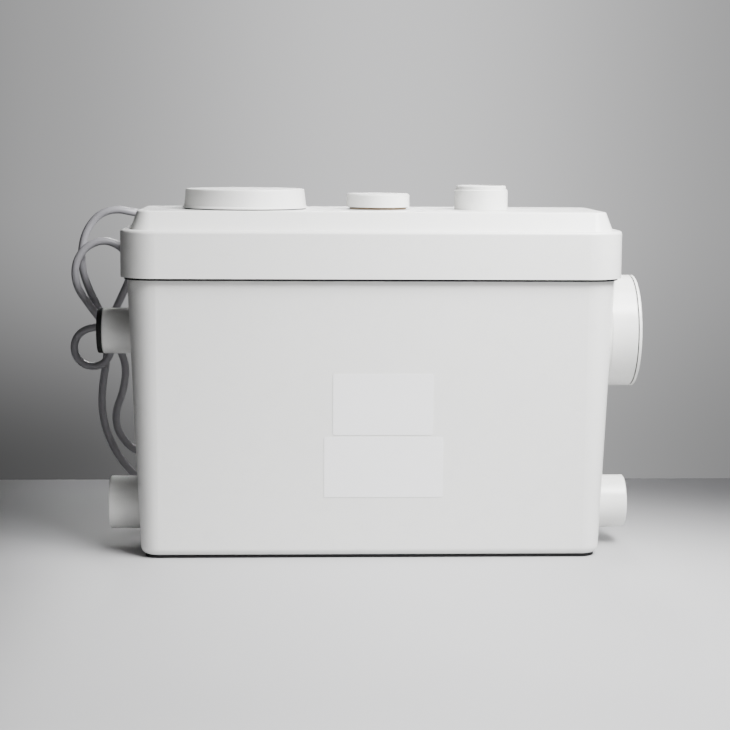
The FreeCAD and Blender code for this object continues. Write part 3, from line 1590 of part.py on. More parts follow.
def main():
    os.makedirs("parts", exist_ok=True)
    pieces = {
        "tank": tank(),
        "feet": feet(),
        "lid_gasket": lid_gasket(),
        "lid": lid(),
        "lid_screws": lid_screws(),
        "left_low_inlet": inlet_pipe(*inlets()["left_low"], ears=True),
        "right_low_inlet": inlet_pipe(*inlets()["right_low"], ears=True),
        "left_high_inlet": inlet_pipe(*inlets()["left_high"], ears=True),
        "soil_inlet": inlet_pipe(*inlets()["soil"], ears=False),
        "left_low_flap": inlet_flap(*inlets()["left_low"][:4]),
        "right_low_flap": inlet_flap(*inlets()["right_low"][:4]),
        "left_high_flap": inlet_flap(*inlets()["left_high"][:4]),
        "flap_pins": flap_pins(),
        "left_high_seal": high_inlet_seal(),
        "soil_cap": soil_cap(),
        "soil_cap_rings": soil_cap_rings(),
        "motor_cap": motor_cap(),
        "motor_cap_ring": motor_cap_ring(),
        "vent_cap": vent_cap(),
        "vent_seal": vent_seal(),
        "carbon_filter": carbon_filter(),
        "outlet_pipe": outlet_pipe(),
        "outlet_ring": outlet_ring(),
        "valve_seat": valve_seat(),
        "check_flap": check_flap(),
        "check_pin": check_pin(),
        "motor_can": motor_can(),
        "can_screws": can_screws(),
        "stator": stator(),
        "windings": windings(),
        "lower_bearing": bearing(can_bottom_z + can_floor),
        "upper_bearing": bearing(shield_z() - bearing_width + bearing_lift),
        "end_shield": end_shield(),
        "shaft_seal": shaft_seal(),
        "rotor": rotor(),
        "motor_shaft": motor_shaft(),
        "electrics_tray": electrics_tray(),
        "capacitor": capacitor(),
        "terminal_block": terminal_block(),
        "pump_casing": pump_casing(),
        "pump_screws": pump_screws(),
        "impeller": impeller(),
        "suction_plate": suction_plate(),
        "basket_screws": basket_screws(),
        "cutter_blade": cutter_blade(),
        "cutter_nut": cutter_nut(),
        "grinder_basket": grinder_basket(),
        "discharge_hose": discharge_hose(),
        "hose_clamps": hose_clamps(),
        "level_tube": level_tube(),
        "level_membrane": level_membrane(),
        "level_cup": level_cup(),
        "level_plunger": level_plunger(),
        "micro_switch": micro_switch(),
        "strain_relief": strain_relief(),
        "supply_cord": supply_cord(),
        "cord_tie": cord_tie(),
        "plug": plug(),
        "plug_pins": plug_pins(),
    }
    for name, shape in pieces.items():
        save(name, shape)


main()
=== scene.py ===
import bpy
import json
import math
from mathutils import Matrix, Vector


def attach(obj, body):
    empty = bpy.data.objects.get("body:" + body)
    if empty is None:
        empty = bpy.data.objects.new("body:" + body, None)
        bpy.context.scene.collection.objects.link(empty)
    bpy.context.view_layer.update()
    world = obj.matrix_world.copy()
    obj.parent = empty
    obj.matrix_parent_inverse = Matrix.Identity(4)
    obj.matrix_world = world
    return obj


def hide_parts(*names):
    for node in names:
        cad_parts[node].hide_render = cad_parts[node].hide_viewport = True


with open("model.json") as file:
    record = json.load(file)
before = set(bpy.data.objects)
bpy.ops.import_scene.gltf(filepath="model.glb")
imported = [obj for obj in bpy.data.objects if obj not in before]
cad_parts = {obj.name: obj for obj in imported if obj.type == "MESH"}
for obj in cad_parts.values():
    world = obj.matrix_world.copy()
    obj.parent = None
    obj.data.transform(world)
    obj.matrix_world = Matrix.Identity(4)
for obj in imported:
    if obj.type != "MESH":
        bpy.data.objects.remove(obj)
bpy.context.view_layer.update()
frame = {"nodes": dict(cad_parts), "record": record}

print("stage: camera")

cameraSettings = {
    "place": (-0.0760, -1.6987, 0.3783),
    "turn": 2.434,      # degrees to the right of straight back
    "dip": 6.94,        # degrees below level
    "roll": 0.323,      # degrees
    "lens": 88.99,
    "sensor": 36.0,
    "farthest": 30,
}


def makeCamera(s):
    turn, dip, roll = (math.radians(s[k]) for k in ("turn", "dip", "roll"))
    ahead = Vector((math.cos(dip) * math.sin(turn), math.cos(dip) * math.cos(turn), -math.sin(dip)))
    right = Vector((math.cos(turn), -math.sin(turn), 0))
    up = Vector((math.sin(dip) * math.sin(turn), math.sin(dip) * math.cos(turn), math.cos(dip)))
    right, up = right * math.cos(roll) + up * math.sin(roll), up * math.cos(roll) - right * math.sin(roll)
    data = bpy.data.cameras.new("photoCamera")
    data.lens = s["lens"]
    data.sensor_width = s["sensor"]
    data.sensor_fit = "HORIZONTAL"
    data.clip_end = s["farthest"]
    camera = bpy.data.objects.new("photoCamera", data)
    bpy.context.scene.collection.objects.link(camera)
    facing = Matrix((right, up, -ahead)).transposed().to_4x4()
    camera.matrix_world = Matrix.Translation(s["place"]) @ facing
    bpy.context.scene.camera = camera


makeCamera(cameraSettings)

print("stage: supply cord")

cordSettings = {
    "radius": 0.00375,
    "length": 1.531,
    "order": 3,
    "stepsAlong": 10,       # between two points of the route
    "stepsRound": 6,
    # from the strain relief, through the loops behind the left end, to the plug on the floor
    "route": [
        (-0.117, 0.10682, 0.309), (-0.117, 0.12882, 0.309),
        (-0.137, 0.149, 0.313), (-0.164, 0.146, 0.314), (-0.189, 0.13, 0.311), (-0.211, 0.112, 0.308),
        (-0.229, 0.101, 0.311), (-0.247, 0.098, 0.315), (-0.265, 0.098, 0.309), (-0.279, 0.098, 0.289),
        (-0.282, 0.098, 0.261), (-0.275, 0.098, 0.236), (-0.264, 0.098, 0.215), (-0.257, 0.098, 0.191),
        (-0.257, 0.098, 0.166), (-0.262, 0.098, 0.14), (-0.263, 0.098, 0.111), (-0.256, 0.097, 0.085),
        (-0.242, 0.096, 0.06), (-0.22, 0.094, 0.038), (-0.197, 0.092, 0.018), (-0.168, 0.09, 0.014),
        (-0.143, 0.089, 0.028), (-0.139, 0.089, 0.055), (-0.158, 0.09, 0.076), (-0.186, 0.092, 0.078),
        (-0.212, 0.094, 0.07), (-0.233, 0.096, 0.074), (-0.247, 0.098, 0.091), (-0.25, 0.1, 0.111),
        (-0.241, 0.101, 0.134), (-0.238, 0.1015, 0.16), (-0.249, 0.1025, 0.183),
        (-0.253, 0.1025, 0.206), (-0.242, 0.099, 0.228), (-0.231, 0.093, 0.252),
        (-0.236, 0.086, 0.275), (-0.256, 0.082, 0.286), (-0.276, 0.0805, 0.278), (-0.286, 0.08, 0.261),
        (-0.285, 0.08, 0.24), (-0.273, 0.08, 0.222), (-0.26, 0.08, 0.205), (-0.251, 0.08, 0.187),
        (-0.252, 0.081, 0.171), (-0.2605, 0.0825, 0.161), (-0.273, 0.084, 0.159),
        (-0.284, 0.0855, 0.165), (-0.289, 0.087, 0.176), (-0.2865, 0.0885, 0.1885),
        (-0.277, 0.0895, 0.1965), (-0.26, 0.09, 0.199), (-0.234, 0.0905, 0.198), (-0.208, 0.093, 0.19),
        (-0.186, 0.096, 0.168), (-0.184, 0.099, 0.138), (-0.19, 0.102, 0.106), (-0.186, 0.105, 0.074),
        (-0.176, 0.107, 0.043), (-0.156, 0.109, 0.017), (-0.128, 0.11, 0.005), (-0.098, 0.111, 0.0046),
        (-0.072, 0.112, 0.011), (-0.05, 0.113, 0.0185),
        (-0.034, 0.113, 0.0185),
    ],
}


def makeCord(s):
    curve = bpy.data.curves.new("supplyCordLine", "CURVE")
    curve.dimensions = "3D"
    spline = curve.splines.new("NURBS")
    spline.points.add(len(s["route"]) - 1)
    for point, spot in zip(spline.points, s["route"]):
        point.co = (*spot, 1)
        point.radius = s["radius"]      # the bevel is one metre, so each point holds the real radius
    spline.order_u = s["order"]         # set after the points, or it falls back to straight runs
    spline.use_endpoint_u = True
    spline.resolution_u = s["stepsAlong"]
    curve.bevel_depth = 1.0
    curve.bevel_resolution = s["stepsRound"]
    curve.use_fill_caps = True
    cord = bpy.data.objects.new("supplyCordLine", curve)
    bpy.context.scene.collection.objects.link(cord)
    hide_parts("supply_cord")
    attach(cord, "housing")
    return cord


supplyCord = makeCord(cordSettings)

print("stage: materials")


class Value:
    # a socket that can stand in sums: value * 2 + 1 adds its own Math nodes
    def __init__(self, build, socket):
        self.build = build
        self.socket = socket

    def sum(self, kind, first, second):
        return self.build.node("Math", {"operation": kind}, {0: first, 1: second})

    def __add__(self, other):
        return self.sum("ADD", self, other)

    def __sub__(self, other):
        return self.sum("SUBTRACT", self, other)

    def __rsub__(self, other):
        return self.sum("SUBTRACT", other, self)

    def __mul__(self, other):
        return self.sum("MULTIPLY", self, other)

    __radd__ = __add__
    __rmul__ = __mul__


class Nodes:
    def __init__(self, tree):
        self.tree = tree

    def node(self, kind, settings, inputs, output=0):
        made = self.tree.nodes.new("ShaderNode" + kind)
        for key, value in settings.items():
            setattr(made, key, value)
        for key, value in inputs.items():
            self.feed(made.inputs[key], value)
        return Value(self, made.outputs[output])

    def feed(self, socket, value):
        if isinstance(value, Value):
            self.tree.links.new(value.socket, socket)
        else:
            socket.default_value = value

    # goes smoothly from one value at the low end of the span to the other at its high end
    def gradient(self, value, span, atLow, atHigh):
        low, high = span
        spans = {"Value": value, "From Min": low, "From Max": high, "To Min": atLow, "To Max": atHigh}
        return self.node("MapRange", {"interpolation_type": "SMOOTHSTEP"}, spans)

    def axis(self, vector, letter):
        return self.node("SeparateXYZ", {}, {0: vector}, letter)


class Finish(Nodes):
    noiseRoughness = 0.55

    def __init__(self, name):
        self.material = bpy.data.materials.new(name)
        self.material.use_nodes = True
        super().__init__(self.material.node_tree)
        self.shader = self.tree.nodes["Principled BSDF"]
        self.place = self.node("TexCoord", {}, {}, "Object")

    def set(self, **values):
        for key, value in values.items():
            self.feed(self.shader.inputs[key.replace("_", " ")], value)

    def noise(self, scale, detail):
        inputs = {"Vector": self.place, "Scale": scale, "Detail": detail, "Roughness": self.noiseRoughness}
        return self.node("TexNoise", {}, inputs, "Fac")

    # bands across the height, as sheets and turns of wire show them
    def bands(self, inputs):
        return self.node("TexWave", {"bands_direction": "Z"}, {"Vector": self.place, **inputs}, "Fac")

    # a pattern between 0 and 1 becomes one that swings about 0, over the spread
    def sway(self, pattern, spread):
        return spread * (pattern - 0.5)

    # mixes two colours; a Mix node has its colour sockets at 6 and 7, and its mixed colour at 2
    def blend(self, share, one, other):
        made = self.tree.nodes.new("ShaderNodeMix")
        made.data_type = "RGBA"
        self.feed(made.inputs[0], share)
        self.feed(made.inputs[6], (*one, 1) if isinstance(one, tuple) else one)
        self.feed(made.inputs[7], (*other, 1) if isinstance(other, tuple) else other)
        return Value(self, made.outputs[2])

    def bump(self, height, strength, distance):
        return self.node("Bump", {}, {"Height": height, "Strength": strength, "Distance": distance})


# In the dictionaries below a noise is its scale and detail, and a bump its strength and its depth in metres

plasticSettings = {
    "cloud": (9.0, 4.0), "fine": (1500.0, 2.0), "wavy": (38.0, 3.0),
    "glossSpread": 0.05,
    "wavyShare": 0.12,      # of the waves' height, beside that of the grain
    "bumpDepth": 0.0002,
}


# Satin moulded plastic: fine grain, a soft waviness in the gloss, and a faint film of dust
def mouldedPlastic(name, light, shade, gloss, grain=0.12):
    s = plasticSettings
    f = Finish(name)
    cloud = f.noise(*s["cloud"])
    fine = f.noise(*s["fine"])
    wavy = f.noise(*s["wavy"])
    f.set(
        Base_Color=f.blend(cloud, shade, light),
        Roughness=gloss + f.sway(wavy, s["glossSpread"]) + f.sway(fine, s["glossSpread"]),
        Normal=f.bump(fine + s["wavyShare"] * wavy, grain, s["bumpDepth"]),
    )
    return f.material


rubberSettings = {
    "bloom": (60.0, 5.0), "fine": (2200.0, 2.0),
    "shade": (0.006, 0.006, 0.006), "light": (0.015, 0.015, 0.016),
    "gloss": 0.66, "glossSpread": 0.2, "shine": 0.22,
    "bump": (0.25, 0.0002),
}


def blackRubber(s):
    f = Finish("blackRubber")
    bloom = f.noise(*s["bloom"])
    f.set(
        Base_Color=f.blend(bloom, s["shade"], s["light"]),
        Roughness=s["gloss"] + f.sway(bloom, s["glossSpread"]),
        Normal=f.bump(f.noise(*s["fine"]), *s["bump"]),
        Specular_IOR_Level=s["shine"],
    )
    return f.material


metalSettings = {
    "streakDetail": 4.0, "stain": (70.0, 4.0),
    "streakShare": 0.6,     # of the colour; the stains have the rest
    "streakGloss": 0.18, "stainGloss": 0.12,
    "bump": (0.2, 0.0001),
}


# Brushed or drawn metal: fine lines that run across the axis with the largest scale
def drawnMetal(name, light, shade, gloss, stretch):
    s = metalSettings
    f = Finish(name)
    along = f.node("Mapping", {}, {"Vector": f.place, "Scale": stretch})
    streak = f.node("TexNoise", {}, {"Vector": along, "Scale": 1.0, "Detail": s["streakDetail"]}, "Fac")
    stain = f.noise(*s["stain"])
    f.set(
        Base_Color=f.blend(s["streakShare"] * streak + (1 - s["streakShare"]) * stain, shade, light),
        Metallic=1.0,
        Roughness=gloss + f.sway(streak, s["streakGloss"]) + f.sway(stain, s["stainGloss"]),
        Normal=f.bump(streak, *s["bump"]),
    )
    return f.material


ironSettings = {
    "sheets": {"Scale": 314.0},     # one light and one dark sheet to a millimetre
    "sheetShare": 0.5,
    "stain": (90.0, 5.0),
    "shade": (0.055, 0.055, 0.062), "light": (0.17, 0.17, 0.18),
    "metal": 0.85, "gloss": 0.42, "glossSpread": 0.2,
    "bump": (0.5, 0.0002),
}


def ironSheets(s):
    f = Finish("ironSheets")
    sheets = f.bands(s["sheets"])
    stain = f.noise(*s["stain"])
    f.set(
        Base_Color=f.blend(s["sheetShare"] * sheets + (1 - s["sheetShare"]) * stain, s["shade"], s["light"]),
        Metallic=s["metal"],
        Roughness=s["gloss"] + f.sway(stain, s["glossSpread"]),
        Normal=f.bump(sheets, *s["bump"]),
    )
    return f.material


copperSettings = {
    "turns": {"Scale": 262.0, "Distortion": 1.5, "Detail": 1.0},     # 1.2 mm from one turn to the next
    "stain": (45.0, 4.0),
    "shade": (0.30, 0.075, 0.03), "light": (0.62, 0.22, 0.09),
    "metal": 0.9, "gloss": 0.3, "glossSpread": 0.15,
    "bump": (0.8, 0.0004),
}


def copperTurns(s):
    f = Finish("copperTurns")
    stain = f.noise(*s["stain"])
    f.set(
        Base_Color=f.blend(stain, s["shade"], s["light"]),
        Metallic=s["metal"],
        Roughness=s["gloss"] + f.sway(stain, s["glossSpread"]),
        Normal=f.bump(f.bands(s["turns"]), *s["bump"]),
    )
    return f.material


charcoalSettings = {
    "grains": 520.0,
    "light": (0.035, 0.035, 0.036), "shade": (0.006, 0.006, 0.006),
    "gloss": 0.75, "glossSpread": 0.2,
    "bump": (0.9, 0.0008),
}


def charcoalGrains(s):
    f = Finish("charcoalGrains")
    grains = f.node("TexVoronoi", {}, {"Vector": f.place, "Scale": s["grains"]}, "Distance")
    f.set(
        Base_Color=f.blend(grains, s["light"], s["shade"]),
        Roughness=s["gloss"] + f.sway(grains, s["glossSpread"]),
        Normal=f.bump(grains, *s["bump"]),
    )
    return f.material


sheathSettings = {
    "handled": (28.0, 5.0), "fine": (1900.0, 2.0),
    "gloss": 0.38, "glossSpread": 0.14,
    "bump": (0.12, 0.0002),
}


# Smooth sheath, a little dull with handling
def softSheath(name, light, shade):
    s = sheathSettings
    f = Finish(name)
    handled = f.noise(*s["handled"])
    f.set(
        Base_Color=f.blend(handled, shade, light),
        Roughness=s["gloss"] + f.sway(handled, s["glossSpread"]),
        Normal=f.bump(f.noise(*s["fine"]), *s["bump"]),
    )
    return f.material


filmSettings = {
    "cloud": (30.0, 3.0), "fine": (900.0, 2.0),
    "shade": (0.86, 0.86, 0.865), "light": (0.91, 0.91, 0.915),
    "gloss": 0.30, "glossSpread": 0.1,
    "bump": (0.05, 0.0001),
}


def stickerFilm(s):
    f = Finish("stickerFilm")
    cloud = f.noise(*s["cloud"])
    f.set(
        Base_Color=f.blend(cloud, s["shade"], s["light"]),
        Roughness=s["gloss"] + f.sway(cloud, s["glossSpread"]),
        Normal=f.bump(f.noise(*s["fine"]), *s["bump"]),
    )
    return f.material


finishes = {
    "sticker_film": stickerFilm(filmSettings),
    "tan_seal": softSheath("tanSeal", (0.30, 0.20, 0.10), (0.20, 0.13, 0.065)),
    "white_shell": mouldedPlastic("whiteShell", (0.80, 0.80, 0.785), (0.765, 0.765, 0.75), 0.28),
    "white_trim": mouldedPlastic("whiteTrim", (0.79, 0.79, 0.77), (0.75, 0.75, 0.73), 0.27),
    "inner_plastic": mouldedPlastic("innerPlastic", (0.62, 0.62, 0.60), (0.55, 0.55, 0.53), 0.52, grain=0.2),
    "grey_plastic": mouldedPlastic("greyPlastic", (0.12, 0.125, 0.135), (0.085, 0.09, 0.10), 0.48, grain=0.2),
    "black_rubber": blackRubber(rubberSettings),
    "charcoal": charcoalGrains(charcoalSettings),
    "steel": drawnMetal(
        "brushedSteel", (0.62, 0.62, 0.62), (0.44, 0.44, 0.45), 0.30, stretch=(30.0, 30.0, 1800.0)),
    "zinc_screw": drawnMetal(
        "zincScrew", (0.66, 0.67, 0.70), (0.46, 0.47, 0.50), 0.26, stretch=(900.0, 900.0, 900.0)),
    "motor_iron": ironSheets(ironSettings),
    "copper": copperTurns(copperSettings),
    "aluminium": drawnMetal(
        "castAluminium", (0.60, 0.60, 0.61), (0.46, 0.46, 0.47), 0.46, stretch=(500.0, 500.0, 500.0)),
    "cord_grey": softSheath("cordSheath", (0.33, 0.325, 0.345), (0.26, 0.255, 0.275)),
    "pin_metal": drawnMetal(
        "plugPin", (0.74, 0.73, 0.70), (0.58, 0.57, 0.54), 0.18, stretch=(40.0, 1500.0, 1500.0)),
}
finishOf = {part["node"]: part["material_slot"] for part in frame["record"]["subparts"]}
finishOf["vent_seal"] = "tan_seal"      # it shows as a thin tan line under the small cap
for name, node in frame["nodes"].items():
    node.data.materials.clear()
    node.data.materials.append(finishes[finishOf[name]])
supplyCord.data.materials.append(finishes["cord_grey"])

print("stage: modelling helpers")

mm = 0.001
shapeSettings = {
    "sides": 48,            # of a round piece
    "cornerSteps": 10,      # faces round a band's corner
    "blockSteps": 3,        # faces across an eased edge of a block
    "bandSteps": 2,         # and of a band
    "smooth": 32,           # degrees between two faces that still shade as one
}


def deselectAll():
    if bpy.context.object and bpy.context.object.mode != "OBJECT":
        bpy.ops.object.mode_set(mode="OBJECT")
    bpy.ops.object.select_all(action="DESELECT")


def selectOnly(thing):
    deselectAll()
    thing.select_set(True)
    bpy.context.view_layer.objects.active = thing


def settle(thing):
    # the object stays at the origin and its place goes into its mesh
    selectOnly(thing)
    bpy.ops.object.transform_apply(location=True, rotation=True, scale=True)
    return thing


def put(thing, place, turn=(0, 0, 0)):
    thing.rotation_euler = turn
    thing.location = place
    return settle(thing)


def editAll():
    bpy.ops.object.mode_set(mode="EDIT")
    bpy.ops.mesh.select_all(action="SELECT")


def pickFaces(thing, test):
    # opens edit mode with only the faces chosen that pass the test
    selectOnly(thing)
    bpy.ops.object.mode_set(mode="EDIT")
    bpy.ops.mesh.select_mode(type="FACE")
    bpy.ops.mesh.select_all(action="DESELECT")
    bpy.ops.object.mode_set(mode="OBJECT")
    for face in thing.data.polygons:
        face.select = test(face.center, face.normal)
    bpy.ops.object.mode_set(mode="EDIT")


# A closed round piece that grows along its own Z from pairs of height and radius, in millimetres
def turned(name, outline, place=(0, 0, 0), turn=(0, 0, 0), sides=shapeSettings["sides"]):
    deselectAll()
    height, radius = outline[0]
    bpy.ops.mesh.primitive_circle_add(
        vertices=sides, radius=radius * mm, fill_type="NGON", location=(0, 0, height * mm))
    thing = settle(bpy.context.object)
    thing.name = name
    bpy.ops.object.mode_set(mode="EDIT")
    bpy.ops.mesh.select_mode(type="FACE")
    bpy.ops.mesh.select_all(action="SELECT")
    for nextHeight, nextRadius in outline[1:]:
        bpy.ops.mesh.extrude_region_move(TRANSFORM_OT_translate={"value": (0, 0, (nextHeight - height) * mm)})
        share = nextRadius / radius
        bpy.ops.transform.resize(value=(share, share, 1), center_override=(0, 0, nextHeight * mm))
        height, radius = nextHeight, nextRadius
    bpy.ops.mesh.select_all(action="SELECT")
    bpy.ops.mesh.normals_make_consistent(inside=False)
    bpy.ops.object.mode_set(mode="OBJECT")
    return put(thing, place, turn)


# A block with eased edges, its low and high corners in millimetres
def block(name, low, high, ease):
    deselectAll()
    middle = [(a + b) / 2 * mm for a, b in zip(low, high)]
    bpy.ops.mesh.primitive_cube_add(size=1, location=middle)
    thing = bpy.context.object
    thing.name = name
    thing.scale = [(b - a) * mm for a, b in zip(low, high)]
    settle(thing)
    editAll()
    bpy.ops.mesh.bevel(offset=ease * mm, segments=shapeSettings["blockSteps"], affect="EDGES")
    bpy.ops.object.mode_set(mode="OBJECT")
    return thing


# A thin wall that follows a rounded outline, all in millimetres
def band(name, s):
    deselectAll()
    x, y = s["middle"]
    bpy.ops.mesh.primitive_plane_add(size=1, location=(x * mm, y * mm, s["low"] * mm))
    thing = bpy.context.object
    thing.name = name
    thing.scale = (2 * s["halfX"] * mm, 2 * s["halfY"] * mm, 1)
    settle(thing)
    editAll()
    bpy.ops.mesh.bevel(offset=s["corner"] * mm, segments=shapeSettings["cornerSteps"], affect="VERTICES")
    bpy.ops.mesh.select_all(action="SELECT")
    bpy.ops.mesh.delete(type="ONLY_FACE")
    bpy.ops.mesh.select_mode(type="EDGE")
    bpy.ops.mesh.select_all(action="SELECT")
    bpy.ops.mesh.extrude_region_move(TRANSFORM_OT_translate={"value": (0, 0, (s["high"] - s["low"]) * mm)})
    bpy.ops.mesh.select_all(action="SELECT")
    bpy.ops.mesh.normals_make_consistent(inside=False)
    bpy.ops.object.mode_set(mode="OBJECT")
    wall = thing.modifiers.new("wall", "SOLIDIFY")
    wall.thickness = s["thick"] * mm
    wall.offset = -1        # inwards, so the outline is its outer side
    bpy.ops.object.modifier_apply(modifier="wall")
    eased = thing.modifiers.new("eased", "BEVEL")
    eased.width = s["ease"] * mm
    eased.segments = shapeSettings["bandSteps"]
    eased.limit_method = "ANGLE"
    bpy.ops.object.modifier_apply(modifier="eased")
    return thing


# Cuts the cutter's shape out of the piece, and the cutter is gone
def cutAway(thing, cutter):
    selectOnly(thing)
    slit = thing.modifiers.new("slit", "BOOLEAN")
    slit.object = cutter
    slit.solver = "EXACT"
    bpy.ops.object.modifier_apply(modifier="slit")
    discard(cutter)


def discard(thing):
    mesh = thing.data
    bpy.data.objects.remove(thing)
    bpy.data.meshes.remove(mesh)


def finishPiece(thing, finish, replaced=None, smooth=shapeSettings["smooth"]):
    selectOnly(thing)
    bpy.ops.object.shade_smooth_by_angle(angle=math.radians(smooth))
    thing.data.materials.clear()
    thing.data.materials.append(finishes[finish])
    if replaced:
        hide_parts(replaced)
    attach(thing, "housing")


def repeated(pattern, places, finish, replaced=None):
    for k, place in enumerate(places):
        copy = pattern.copy()
        copy.data = pattern.data.copy()
        copy.name = pattern.name + str(k + 1)
        bpy.context.scene.collection.objects.link(copy)
        put(copy, [a * mm for a in place])
        finishPiece(copy, finish, replaced=replaced)
    discard(pattern)


# The black rings and bands below are painted shadow: dark pieces put in the gaps under the caps, under the
# lid's skirt and round the tank's foot, where there is only shade
print("stage: dark seals at the caps, the rim and the foot")

shadowBandSettings = {        # millimetres
    "capSeat": {        # painted shadow: the two flat black rings lie in the gaps under the caps, where there is only shade
        "middle": (-117.0, 0), "halfX": 56.7, "halfY": 56.7, "corner": 56.6,
        "low": 319.0, "high": 319.85, "thick": 6.2, "ease": 0.1,
    },
    "ventSeat": {
        "middle": (7.5, 0), "halfX": 27.9, "halfY": 27.9, "corner": 27.8,
        "low": 320.65, "high": 321.15, "thick": 3.4, "ease": 0.08,
    },
    "rimSeal": {        # painted shadow: a black band that fills the gap between the tank and the lid's skirt, where the skirt's shadow falls
        "middle": (0, 0), "halfX": 225.85, "halfY": 81.85, "corner": 30.3,
        "low": 256.9, "high": 262.0, "thick": 2.5, "ease": 0.5,
    },
    # painted shadow: a black band round the tank's foot, where its contact shadow falls on the floor
    "footTrim": {
        "middle": (0, 0), "halfX": 208.6, "halfY": 64.6, "corner": 13.5,
        "low": 0.0, "high": 3.3, "thick": 6.0, "ease": 0.4,
    },
}

for name, s in shadowBandSettings.items():
    finishPiece(band(name, s), "black_rubber")

print("stage: lid screws")

lidScrewSettings = {     # millimetres, from the underside of the head
    "outline": [
        (-17.0, 0.6), (-14.6, 1.9), (0.0, 2.0), (0.0, 4.0), (0.25, 4.35), (1.2, 4.3),
        (2.0, 3.75), (2.5, 2.9), (2.8, 1.6),
    ],
    "sides": 32,
    "slots": [(2.7, 0.5), (0.5, 2.7)],      # half their lengths and widths, crossed
    "slotFoot": 1.3, "slotTop": 5.0, "slotEase": 0.12,
    "seat": 299.3, "rows": (-201.0, -41.99, 41.99, 201.0), "aside": 57.0,
}


def slotHead(screw, s):
    for halfX, halfY in s["slots"]:
        low, high = (-halfX, -halfY, s["slotFoot"]), (halfX, halfY, s["slotTop"])
        cutAway(screw, block("bar", low, high, s["slotEase"]))


def makeLidScrews(s):
    screw = turned("lidScrew", s["outline"], sides=s["sides"])
    slotHead(screw, s)
    places = [(x, y, s["seat"]) for x in s["rows"] for y in (-s["aside"], s["aside"])]
    repeated(screw, places, "zinc_screw", replaced="lid_screws")


makeLidScrews(lidScrewSettings)

print("stage: strain relief, tie and plug of the supply cord")

strainReliefSettings = {     # millimetres along the cord, from the shank's end inside the lid
    "shank": [
        (0, 4.9), (0.5, 5.2), (7.0, 5.2), (7.0, 6.2), (7.4, 6.6), (16.8, 6.6), (17.6, 6.3), (18.0, 5.8),
    ],
    "groove": [     # how far along from the groove's start, and how deep
        (-0.3, 0), (0, 0.3), (0.1, 1.0), (1.5, 1.0), (1.6, 0.3), (1.9, 0),
    ],
    "firstGroove": 21.2, "groovePitch": 4.1, "grooveCount": 5,
    "fat": 5.6, "slim": 4.8,    # the radius at the first groove and at the last
    "end": [(42.4, 4.7), (42.9, 4.45), (43.0, 4.1), (42.3, 3.8)],
    "smooth": 40,
    "place": (-0.117, 0.06382, 0.309),      # metres
}


def makeStrainRelief(s):
    outline = list(s["shank"])
    for k in range(s["grooveCount"]):
        start = s["firstGroove"] + k * s["groovePitch"]
        radius = s["fat"] + (s["slim"] - s["fat"]) * k / (s["grooveCount"] - 1)
        outline += [(start + along, radius - deep) for along, deep in s["groove"]]
    boot = turned("strainReliefBoot", outline + s["end"], s["place"], (-math.pi / 2, 0, 0))
    finishPiece(boot, "cord_grey", replaced="strain_relief", smooth=s["smooth"])
    return boot


cordTieSettings = {      # millimetres
    "strap": {
        "middle": (-252.0, 91.3), "halfX": 11.2, "halfY": 17.2, "corner": 6.2,
        "low": 178.0, "high": 183.0, "thick": 1.2, "ease": 0.25,
    },
    "headLow": (-243.4, 86.6, 177.4), "headHigh": (-239.0, 93.2, 183.6), "headEase": 0.7,
    "squareOn": 0.99,       # the least that an end face looks along the strap
    "slotInset": 1.2, "slotDepth": 0.9,
}


def makeCordTie(s):
    strap = band("cordTieStrap", s["strap"])
    head = block("cordTieHead", s["headLow"], s["headHigh"], s["headEase"])
    pickFaces(head, lambda centre, normal: abs(normal.x) > s["squareOn"])
    bpy.ops.mesh.inset(thickness=s["slotInset"] * mm, depth=-s["slotDepth"] * mm)
    for piece in (strap, head):
        finishPiece(piece, "grey_plastic", replaced="cord_tie")
    return [strap, head]


plugSettings = {         # millimetres along the plug, from the cord to its face
    "sleeve": [
        (0, 4.2), (0.4, 4.6), (2.0, 4.8), (2.3, 4.1), (3.3, 4.1), (3.6, 5.0),
        (5.2, 5.3), (5.5, 4.5), (6.5, 4.5), (6.8, 5.7),
    ],
    "body": [
        (8.2, 6.3), (10.2, 9.4), (12.2, 11.2), (16.0, 12.4), (19.6, 14.0), (22.0, 16.4),
        (23.4, 17.9), (24.4, 18.4), (32.8, 18.5), (33.6, 18.1), (34.0, 17.4),
    ],
    "face": [(34.0, 15.8), (33.4, 15.5), (33.4, 14.6), (34.0, 14.3)],
    "sides": 60,
    "gripFrom": 12.4, "gripTo": 22.2, "gripInset": 0.3, "gripDepth": 0.55,     # on every second side
    "smooth": 40,
    "place": (-0.034, 0.113, 0.0185),       # metres
}


def makePlug(s):
    plug = turned("plugBody", s["sleeve"] + s["body"] + s["face"], sides=s["sides"])
    fullTurn = 2 * math.pi
    step = fullTurn / s["sides"]

    def inGrip(centre, normal):
        inside = s["gripFrom"] * mm < centre.z < s["gripTo"] * mm
        return inside and int(math.atan2(centre.y, centre.x) % fullTurn / step) % 2 == 0

    pickFaces(plug, inGrip)
    bpy.ops.mesh.inset(thickness=s["gripInset"] * mm, depth=-s["gripDepth"] * mm)
    put(plug, s["place"], (0, math.pi / 2, 0))
    finishPiece(plug, "cord_grey", replaced="plug", smooth=s["smooth"])
    return plug


onCord = [makeStrainRelief(strainReliefSettings), *makeCordTie(cordTieSettings), makePlug(plugSettings)]
onCord + ["plug_pins"]

print("stage: electrics under the large cap")

